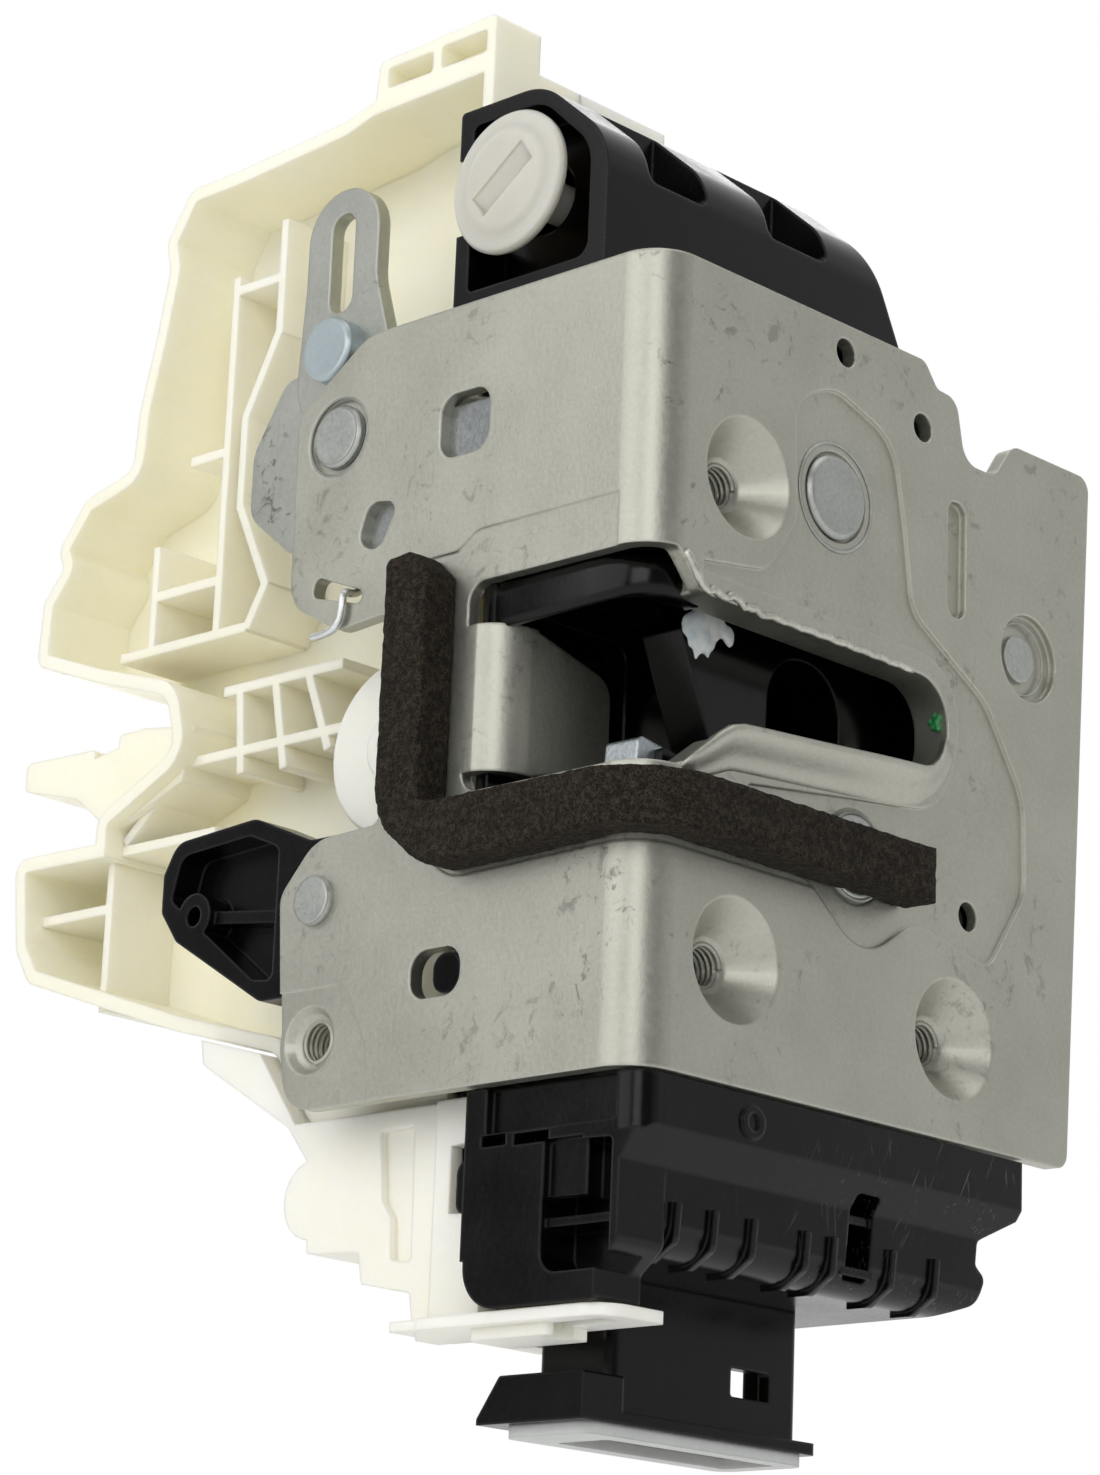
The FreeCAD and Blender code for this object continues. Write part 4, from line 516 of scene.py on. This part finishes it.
BURR_EDGE = [
    (5.4, 13.3), (6.6, 11.9), (7.6, 10.3), (9.0, 9.5), (11.5, 9.3), (14.0, 9.6), (15.6, 9.1), (18.0, 8.9),
    (22.0, 9.0), (30.0, 9.0), (40.0, 9.0), (47.0, 8.95),
]
BURR_STEP = 0.6
BURR_SIDES = 10
TORN_END = 20
burr_run = []
for (x, z), (next_x, next_z) in zip(BURR_EDGE, BURR_EDGE[1:]):
    parts = max(2, int(abs(next_x - x) / BURR_STEP))
    for part in range(parts):
        share = part / parts
        across = x + (next_x - x) * share
        torn = 1.0 if across < TORN_END else 0.35
        waves = 0.24 * math.sin(across * 1.9) + 0.14 * math.sin(across * 4.3 + 1.0)
        ragged = torn * (waves + 0.05 * math.sin(across * 9.7))
        burr_run.append((across, z + (next_z - z) * share + ragged * 0.9, 0.0, 0.75 + 0.35 * torn + ragged))
burr_angles = [2 * math.pi * step / BURR_SIDES for step in range(BURR_SIDES)]
burr_outline = [(0.1 + 0.42 * math.cos(angle), 0.1 + 0.5 * math.sin(angle)) for angle in burr_angles]
burr_metal = sheet_steel("torn_edge", tone(214, 214, 203), tone(160, 159, 150), 0.34, 0.9, 0.36)
mouth_burr = swept("mouth_burr", burr_run, burr_outline, burr_metal)
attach(mouth_burr, "frame")


# Side levers, punched from bare darker sheet, and the rivets that hold them.
# The rivets are cold headed steel, and the one on the arm is plated bluish.
lever_metal = sheet_steel("lever_sheet", tone(184, 186, 179), tone(168, 170, 163), 0.4, 0.5, 0.36)
dress(lever_metal, "release_lever", "inside_lever")
rivet_metal = sheet_steel("rivet_head", tone(188, 191, 186), tone(160, 163, 159), 0.38, 0.4, 0.4)
dress(rivet_metal, "catch_pin", "pawl_pin", "plate_rivet", "lever_pin", "lower_rivet", "cover_screws")
blue_zinc = sheet_steel("blue_zinc", tone(186, 197, 201), tone(176, 188, 193), 0.4, 0.4, 0.1, scratched=0.05)
dress(blue_zinc, "arm_rivet")


# Rings of the riveting tool. It pressed thin round lines into the sheet round
# each head, and one on the larger heads themselves.
RINGS = {
    "lever_pin": (3.5, 5.0),
    "catch_pin": (3.0, 4.4, 6.6),
    "plate_rivet": (2.9, 4.6),
    "lower_rivet": (2.9, 3.7),
    "pawl_pin": (3.4, 5.2),
}
ON_FLANGE = ("lever_pin", "lower_rivet")
RING_BEAD = 0.04 * MM
RING_BED = 0.04 * MM
PLATE_DROP = 0.4 * MM
ring_places, ring_turns, ring_sizes = [], [], []
for name, radii in RINGS.items():
    low, high = (Vector(corner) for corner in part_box(name))
    middle = (low + high) / 2
    for radius in radii:
        on_head = radius * MM < (high - low).z / 2
        if name in ON_FLANGE:
            ring_places.append((RING_BED + (low.x if on_head else 0), middle.y, middle.z))
            ring_turns.append((0, math.pi / 2, 0))
        else:
            ring_places.append((middle.x, RING_BED + (low.y if on_head else PLATE_DROP), middle.z))
            ring_turns.append((math.pi / 2, 0, 0))
        ring_sizes.append((radius, radius, 1.0))
rings = new_shape("head_rings", ring_places, ring_turn=ring_turns, ring_size=ring_sizes)
unit_sizes = {"Unit": MM, "Bead": RING_BEAD}
recipe, start, end = new_recipe("pressed_ring", unit_sizes)
round_path = node(recipe, "GeometryNodeCurvePrimitiveCircle", [
    ("Resolution", 48), ("Radius", start.outputs["Unit"])])
bead = node(recipe, "GeometryNodeCurvePrimitiveCircle", [("Resolution", 8), ("Radius", start.outputs["Bead"])])
ring = node(recipe, "GeometryNodeCurveToMesh", [
    ("Curve", round_path.outputs[0]), ("Profile Curve", bead.outputs[0])])
repeated(
    rings, recipe, start, end, ring.outputs[0], rivet_metal, unit_sizes,
    Rotation="ring_turn", Scale="ring_size")
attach(rings, "frame")


# Springs. Bright round wire: the lever spring is wound twice round the lever
# pin, and its end is bent into a hook that lies over the edge of the flange.
LEVER_COIL = (2.75, 52.6, 36.8)
WIRE_THICKNESS = 1.0
COIL_RADIUS = 5.0
COIL_TURNS = 1.9
COIL_PITCH = 1.05
COIL_STEPS = 60
HOOK = [
    (2.75, 50.6, 25.0), (2.6, 49.8, 17.2), (1.2, 49.75, 16.4), (-0.6, 49.6, 16.3), (-0.8, 49.5, 14.6),
    (-0.7, 49.7, 13.0), (-0.7, 50.5, 11.9), (-0.7, 51.8, 11.4), (-0.7, 54.6, 11.3),
]


def wire(label, run, thickness, material):
    """Round wire bent smoothly through a run of points."""
    bent = bpy.data.curves.new(label, "CURVE")
    bent.dimensions = "3D"
    bent.bevel_depth = thickness / 2 * MM
    bent.bevel_resolution = 5
    bent.use_fill_caps = True
    line = bent.splines.new("NURBS")
    line.points.add(len(run) - 1)
    for spot, point in zip(line.points, run):
        spot.co = (*(Vector(point) * MM), 1)
    line.order_u = 3
    line.use_endpoint_u = True
    line.resolution_u = 6
    holder = placed(label + "_path", bent)
    bpy.context.view_layer.update()
    mesh = bpy.data.meshes.new_from_object(holder)
    bpy.data.objects.remove(holder)
    mesh.materials.clear()
    mesh.materials.append(material)
    return smooth(placed(label, mesh))


wire_metal = sheet_steel(
    "spring_wire", tone(226, 228, 228), tone(212, 214, 214), 0.2, 0.05, -0.4, scratched=0.0)
dress(wire_metal, "lever_spring", "catch_spring", "pawl_spring")
coil = []
for step in range(COIL_STEPS, -1, -1):
    wound_turns = COIL_TURNS * step / COIL_STEPS
    angle = 2 * math.pi * wound_turns
    coil.append((
        LEVER_COIL[0] + COIL_PITCH * wound_turns,
        LEVER_COIL[1] + COIL_RADIUS * math.sin(angle),
        LEVER_COIL[2] - COIL_RADIUS * math.cos(angle)))
lever_wire = wire("lever_spring_wire", coil + HOOK, WIRE_THICKNESS, wire_metal)
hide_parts("lever_spring")
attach(lever_wire, "frame")


# Catch and pawl. Fine blanked steel, hardened and left bare, under the black
# sleeves that are moulded onto them.
pawl_metal = sheet_steel("pawl_steel", tone(204, 212, 216), tone(156, 163, 167), 0.34, 0.5, 0.4)
dress(pawl_metal, "pawl", "catch")


# Black mouldings of glass filled nylon: the housing behind the plate, the
# sleeves of the catch and pawl, the child lock tower, the lower housing with
# its socket and the side bracket.
NYLON_GREY = tone(8, 8, 8)
WHITE_LINE = tone(118, 116, 112)


def black_moulding(name, colour, rough, edge_highlight, scratch_amount=0.0):
    """Glossy nylon with a painted highlight along its edges and, where it was handled, pale scratches to the
    right.
    """
    made, tree, surface = new_finish(name, Specular_IOR_Level=0.24)
    edges = use(tree, soft_edges, [("Radius", EDGE_RADIUS)])
    tones = use(tree, mottle, [("Coarse", 90.0), ("Fine", 1400.0), ("Mix", 0.35)])
    base = mix_tone(tree, span(tree, tones.outputs["Value"], 0.35, 0.7), colour, NYLON_GREY)
    # Painted highlight: a grey laid along the edges, for light caught on them.
    highlit_and_scratched = laid_over(tree, base, edges.outputs["Edge"], 0.22, edge_highlight)
    if scratch_amount:
        place = node(tree, "ShaderNodeTexCoord")
        apart = node(tree, "ShaderNodeSeparateXYZ", [(0, place.outputs["Object"])])
        right = span(tree, apart.outputs["X"], 0.02, 0.055, 0.05, 1.0)
        steep = use(tree, scratches, [
            ("Turn", (0.0, math.radians(62), 0.0)), ("Length", 90.0), ("Crowd", 3000.0), ("Rare", 0.64)])
        upright = use(tree, scratches, [
            ("Turn", (0.0, math.radians(100), 0.1)), ("Length", 70.0), ("Crowd", 2500.0), ("Rare", 0.66)])
        lines = combine(tree, "MAXIMUM", steep.outputs["Mask"], upright.outputs["Mask"])
        lines = combine(tree, "MULTIPLY", lines, right)
        highlit_and_scratched = laid_over(tree, highlit_and_scratched, lines, scratch_amount, WHITE_LINE)
    roughness = span(tree, tones.outputs["Value"], 0.3, 0.7, rough - 0.05, rough + 0.08)
    finish_with(tree, surface, highlit_and_scratched, roughness, 0.25, 0.00004, tones, edges)
    return made


gloss_black = black_moulding("gloss_black", tone(2, 2, 2), 0.15, tone(60, 60, 60))
satin_black = black_moulding("satin_black", tone(3, 3, 3), 0.22, tone(70, 70, 70))
scratched_black = black_moulding(
    "scratched_black", tone(3, 3, 3), 0.19, tone(64, 64, 64), scratch_amount=0.45)
dress(gloss_black, "latch_housing", "catch_cover", "pawl_cover")
dress(satin_black, "child_lock_tower", "side_bracket", "connector_shell")
dress(scratched_black, "lower_housing")


# Liner of the mouth. A glossy black bar along the top of the side opening that
# turns behind the plate, and the wall behind the guide tab, in one moulding.
BAR_OUTLINE = [
    (-2.1, -1.4), (-1.7, -2.3), (-0.9, -2.7), (0.9, -2.7), (1.7, -2.3), (2.1, -1.4), (2.1, 1.2),
    (1.7, 2.2), (0.9, 2.7), (-0.9, 2.7), (-1.7, 2.2), (-2.1, 1.2),
]
BAR_RUN = [
    (2.6, 26.6, 10.6, 0.36), (2.6, 20.0, 10.8, 0.36), (2.6, 12.0, 10.9, 0.36), (2.8, 9.2, 11.0, 0.36),
    (3.5, 7.6, 11.1, 0.5), (4.8, 6.3, 11.2, 0.75), (6.6, 5.4, 11.3, 1.0), (9.2, 5.0, 11.4, 1.0),
    (12.4, 5.0, 11.6, 1.0),
]
WALL_LEFT, WALL_RIGHT = 1.9, 21.9
WALL_FRONT, WALL_BACK = 26.4, 28.2
WALL_LOW, WALL_HIGH = -12.4, 13.6
bar_rings = []
for step, (x, y, z, width) in enumerate(BAR_RUN):
    before = Vector(BAR_RUN[max(step - 1, 0)][:3])
    after = Vector(BAR_RUN[min(step + 1, len(BAR_RUN) - 1)][:3])
    side = (after - before).cross(Vector((0, 0, 1))).normalized() * width
    bar_rings.append([Vector((x, y, z)) + side * across + Vector((0, 0, up)) for across, up in BAR_OUTLINE])
wall_corners = [
    (WALL_FRONT, WALL_LOW), (WALL_BACK, WALL_LOW), (WALL_BACK, WALL_HIGH), (WALL_FRONT, WALL_HIGH)]
wall_rings = [[(x, y, z) for y, z in wall_corners] for x in (WALL_LEFT, WALL_RIGHT)]
liner = smooth(skin("mouth_liner", [bar_rings, wall_rings], gloss_black))
liner.data.set_sharp_from_angle(angle=math.radians(40))
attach(liner, "frame")


# Pale mouldings of unfilled nylon and acetal: the cream carrier, the paler
# rear cover, and the white cam and gear. Light sinks a little way into them.
DIRT_TONE = tone(120, 92, 52)
LIGHT_DEPTH = 4.0 * MM


def pale_moulding(name, colour, deep, rough, depth, specks=0.0):
    """Milky plastic with a soft mottle and, where it was handled, specks of dirt."""
    made, tree, surface = new_finish(
        name, Subsurface_Weight=depth, Subsurface_Scale=LIGHT_DEPTH, Specular_IOR_Level=0.35,
        Subsurface_Radius=(1.0, 0.85, 0.6))
    edges = use(tree, soft_edges, [("Radius", EDGE_RADIUS)])
    tones = use(tree, mottle, [("Coarse", 35.0), ("Fine", 1200.0), ("Mix", 0.2)])
    base = mix_tone(tree, span(tree, tones.outputs["Value"], 0.35, 0.68), colour, deep)
    if specks:
        dirt = use(tree, rub_marks, [("Scale", 300.0), ("Patch", 24.0), ("Cover", specks)])
        base = laid_over(tree, base, dirt.outputs["Mask"], 0.7, DIRT_TONE)
    roughness = span(tree, tones.outputs["Value"], 0.3, 0.7, rough - 0.05, rough + 0.08)
    finish_with(tree, surface, base, roughness, 0.25, 0.00005, tones, edges)
    return made


cream = pale_moulding("cream_moulding", tone(251, 247, 230), tone(246, 240, 214), 0.36, 0.5, specks=0.24)
dress(cream, "carrier")
pale_white = pale_moulding("pale_moulding", tone(247, 245, 236), tone(242, 239, 226), 0.34, 0.45)
dress(pale_white, "actuator_cover")
white_acetal = pale_moulding("white_acetal", tone(240, 239, 231), tone(233, 232, 222), 0.32, 0.5)
dress(white_acetal, "lock_cam", "worm_wheel")


# Child lock knob. A milky white button, turned and milled: it has a raised
# round field, and a key slot whose floor slopes down to one side.
KNOB_CENTRE = (28.4, 65.0)
KNOB_OUTLINE = [
    (0.0, 1.95), (5.8, 1.95), (6.3, 2.1), (6.7, 2.45), (7.1, 2.6), (8.3, 2.55), (8.8, 2.75), (9.1, 3.2),
    (9.05, 3.8), (8.6, 4.2), (2.7, 4.4), (2.6, 14.6), (0.0, 14.6),
]
KNOB_STEPS = 72
SLOT_TURN = math.radians(-36)
SLOT_REACH = 4.8
SLOT_SECTION = [(-1.7, 0.4), (1.7, 0.4), (1.7, 2.15), (-1.7, 3.7)]
milky = pale_moulding("milky_knob", tone(200, 198, 189), tone(190, 188, 178), 0.24, 0.5)
points, faces = [], []
for radius, depth in KNOB_OUTLINE:
    for step in range(KNOB_STEPS if radius else 1):
        angle = 2 * math.pi * step / KNOB_STEPS
        across, up = radius * math.cos(angle), radius * math.sin(angle)
        points.append(Vector((depth, KNOB_CENTRE[0] + across, KNOB_CENTRE[1] + up)) * MM)
last = len(points) - 1
for step in range(KNOB_STEPS):
    after = (step + 1) % KNOB_STEPS
    faces.append((0, 1 + after, 1 + step))
    for ring in range(len(KNOB_OUTLINE) - 3):
        first = 1 + ring * KNOB_STEPS
        faces.append((first + step, first + after, first + KNOB_STEPS + after, first + KNOB_STEPS + step))
    faces.append((last - KNOB_STEPS + step, last - KNOB_STEPS + after, last))
mesh = bpy.data.meshes.new("child_lock_button")
mesh.from_pydata(points, [], faces)
face_outwards(mesh)
knob = placed("child_lock_button", mesh)

along = Vector((0, math.cos(SLOT_TURN), math.sin(SLOT_TURN)))
over = Vector((0, -math.sin(SLOT_TURN), math.cos(SLOT_TURN)))
middle = Vector((0, *KNOB_CENTRE))
mill_rings = [
    [middle + along * reach + over * side + Vector((depth, 0, 0)) for side, depth in SLOT_SECTION]
    for reach in (-SLOT_REACH, SLOT_REACH)]
mill = skin("slot_mill", [mill_rings], milky)
milled = knob.modifiers.new("slot", "BOOLEAN")
milled.object = mill
milled.solver = "EXACT"
milled.operation = "DIFFERENCE"
applied(knob)
bpy.data.objects.remove(mill)
knob.data.materials.clear()
knob.data.materials.append(milky)
smooth(knob)
knob.data.set_sharp_from_angle(angle=math.radians(32))
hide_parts("child_lock_knob")
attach(knob, "child_lock")
dress(milky, "child_lock_knob")


# Lock motor, worm and pins. A steel can with a brass worm in the closed cover,
# and brass pins under a pale rubber gasket in the socket.
motor_metal = sheet_steel("motor_can", tone(190, 190, 188), tone(160, 160, 158), 0.3, 0.3, 0.3)
dress(motor_metal, "lock_motor")
brass = sheet_steel("brass", tone(205, 172, 98), tone(176, 142, 74), 0.3, 0.3, 0.3)
dress(brass, "motor_worm", "connector_terminals")
gasket = pale_moulding("pale_gasket", tone(206, 208, 207), tone(186, 188, 188), 0.55, 0.1)
dress(gasket, "connector_seal")


# Foam seal. A die cut strip of dark closed cell foam, stuck to the flange and
# led round the bend onto the plate, with rounded cut edges and open pores.
FOAM_VOXEL = 0.6 * MM
FOAM_SWELL = 0.3 * MM
FOAM_LUMP = 1.1 * MM
PORE_SHADE_TONE = tone(9, 7, 5)
foam = placed("foam_strip", nodes["foam_seal"].data.copy())
foam.data.materials.clear()
weld = foam.modifiers.new("weld", "WELD")
weld.merge_threshold = 0.00001
remesh = foam.modifiers.new("remesh", "REMESH")
remesh.mode = "VOXEL"
remesh.voxel_size = FOAM_VOXEL
soften = foam.modifiers.new("soften", "SMOOTH")
soften.factor = 0.5
soften.iterations = 2
cells_map = bpy.data.textures.new("foam_cells", "CLOUDS")
cells_map.noise_scale = FOAM_LUMP
cells_map.noise_depth = 1
uneven = foam.modifiers.new("uneven", "DISPLACE")
uneven.texture = cells_map
uneven.texture_coords = "LOCAL"
uneven.strength = FOAM_SWELL
uneven.mid_level = 0.62
applied(foam)
smooth(foam)
foam_finish, tree, surface = new_finish("dark_foam", Roughness=0.95, Specular_IOR_Level=0.2)
place = node(tree, "ShaderNodeTexCoord").outputs["Object"]
pores = node(tree, "ShaderNodeTexVoronoi", [("Vector", place), ("Scale", 3600.0), ("Randomness", 1.0)])
grains = noise(tree, place, 1500.0, 3.0, 0.7)
pore = span(tree, pores.outputs["Distance"], 0.1, 0.45)
walls = mix_tone(tree, span(tree, grains, 0.4, 0.72), tone(28, 24, 19), tone(60, 53, 43))
# Painted shade: the open pores are coloured nearly black, for the shade inside them.
tree.links.new(mix_tone(tree, pore, PORE_SHADE_TONE, walls), surface.inputs["Base Color"])
bump = node(tree, "ShaderNodeBump", [
    ("Strength", 0.8), ("Distance", 0.00025), ("Height", combine(tree, "ADD", pore, grains))])
tree.links.new(bump.outputs[0], surface.inputs["Normal"])
foam.data.materials.append(foam_finish)
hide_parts("foam_seal")
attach(foam, "frame")


# Grease. A white smear of bearing grease on the tip of the catch, drawn down
# in short runs, as it was wiped on at assembly.
GREASE_DABS = [
    (17.2, 9.4, 9.3, 1.2), (18.6, 9.3, 9.9, 1.5), (20.3, 9.3, 10.4, 1.5), (22.0, 9.4, 10.7, 1.2),
    (19.2, 9.3, 8.4, 1.4), (17.9, 9.4, 7.6, 1.0), (21.4, 9.4, 9.1, 1.1), (16.6, 9.4, 8.4, 0.8),
    (22.6, 9.4, 9.8, 0.9), (23.9, 9.4, 9.6, 1.1), (24.2, 9.5, 8.8, 0.8), (20.6, 9.2, 11.3, 0.8),
    (19.4, 9.3, 7.4, 1.2), (20.8, 9.4, 7.6, 0.9), (18.7, 9.4, 6.7, 0.8), (18.5, 9.4, 6.0, 0.55),
    (18.4, 9.5, 5.4, 0.4), (20.4, 9.4, 6.7, 0.6), (20.5, 9.5, 6.1, 0.4), (17.4, 9.4, 6.8, 0.5),
]
GREASE_BED = 9.8
GREASE_FLATNESS = 0.48
GREASE_SOFTENING = 14
LUMP_FINENESS = 0.22
LUMP_THRESHOLD = 0.3
LUMP_REACH = 1.5


def lumps_of(label, dabs, material, bed=0.0, flatness=1.0, softening=0):
    """Soft lumps run together and pressed flat on a bed, made in millimetres."""
    lumps = bpy.data.metaballs.new(label + "_lumps")
    lumps.resolution = LUMP_FINENESS
    lumps.threshold = LUMP_THRESHOLD
    for across, deep, up, radius in dabs:
        lump = lumps.elements.new()
        lump.co = Vector((across, deep, up))
        lump.radius = radius * LUMP_REACH
    holder = placed(label + "_lumps", lumps)
    bpy.context.view_layer.update()
    graph = bpy.context.evaluated_depsgraph_get()
    mesh = bpy.data.meshes.new_from_object(holder.evaluated_get(graph))
    pressed = Matrix.Translation((0, bed * (1 - flatness), 0)) @ Matrix.Diagonal((1, flatness, 1, 1))
    mesh.transform(Matrix.Scale(MM, 4) @ pressed)
    bpy.data.objects.remove(holder)
    shell = bmesh.new()
    shell.from_mesh(mesh)
    for turn in range(softening):
        bmesh.ops.smooth_vert(
            shell, verts=shell.verts, factor=0.5, use_axis_x=True, use_axis_y=True, use_axis_z=True)
    shell.to_mesh(mesh)
    shell.free()
    mesh.materials.clear()
    mesh.materials.append(material)
    return smooth(placed(label, mesh))


grease_finish, tree, surface = new_finish(
    "white_grease", Roughness=0.2, Subsurface_Weight=0.4, Subsurface_Scale=MM,
    Subsurface_Radius=(0.8, 0.9, 1.0))
cloudy = use(tree, mottle, [("Coarse", 260.0), ("Fine", 900.0), ("Mix", 0.3)])
cloud = span(tree, cloudy.outputs["Value"], 0.35, 0.65)
tree.links.new(mix_tone(tree, cloud, tone(206, 220, 228), tone(244, 246, 245)), surface.inputs["Base Color"])
grease = lumps_of("grease", GREASE_DABS, grease_finish, GREASE_BED, GREASE_FLATNESS, GREASE_SOFTENING)
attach(grease, "catch")


# Inspection mark. A few dabs of green paint on the sheet at the far end of the
# mouth, put on by brush when the latch passed its test.
MARK_DABS = [
    (53.3, 1.6, 4.4, 0.5), (53.3, 2.1, 3.9, 0.45), (53.2, 1.2, 4.9, 0.4), (53.3, 2.5, 4.6, 0.4),
    (53.2, 1.9, 5.3, 0.4), (53.3, 1.4, 3.6, 0.4),
]
paint_finish, tree, surface = new_finish("green_paint", Roughness=0.35)
thick = use(tree, mottle, [("Coarse", 900.0), ("Fine", 2600.0), ("Mix", 0.4)])
thickness = span(tree, thick.outputs["Value"], 0.35, 0.65)
tree.links.new(mix_tone(tree, thickness, tone(26, 104, 58), tone(58, 150, 86)), surface.inputs["Base Color"])
mark = lumps_of("paint_mark", MARK_DABS, paint_finish)
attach(mark, "frame")

low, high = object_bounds()
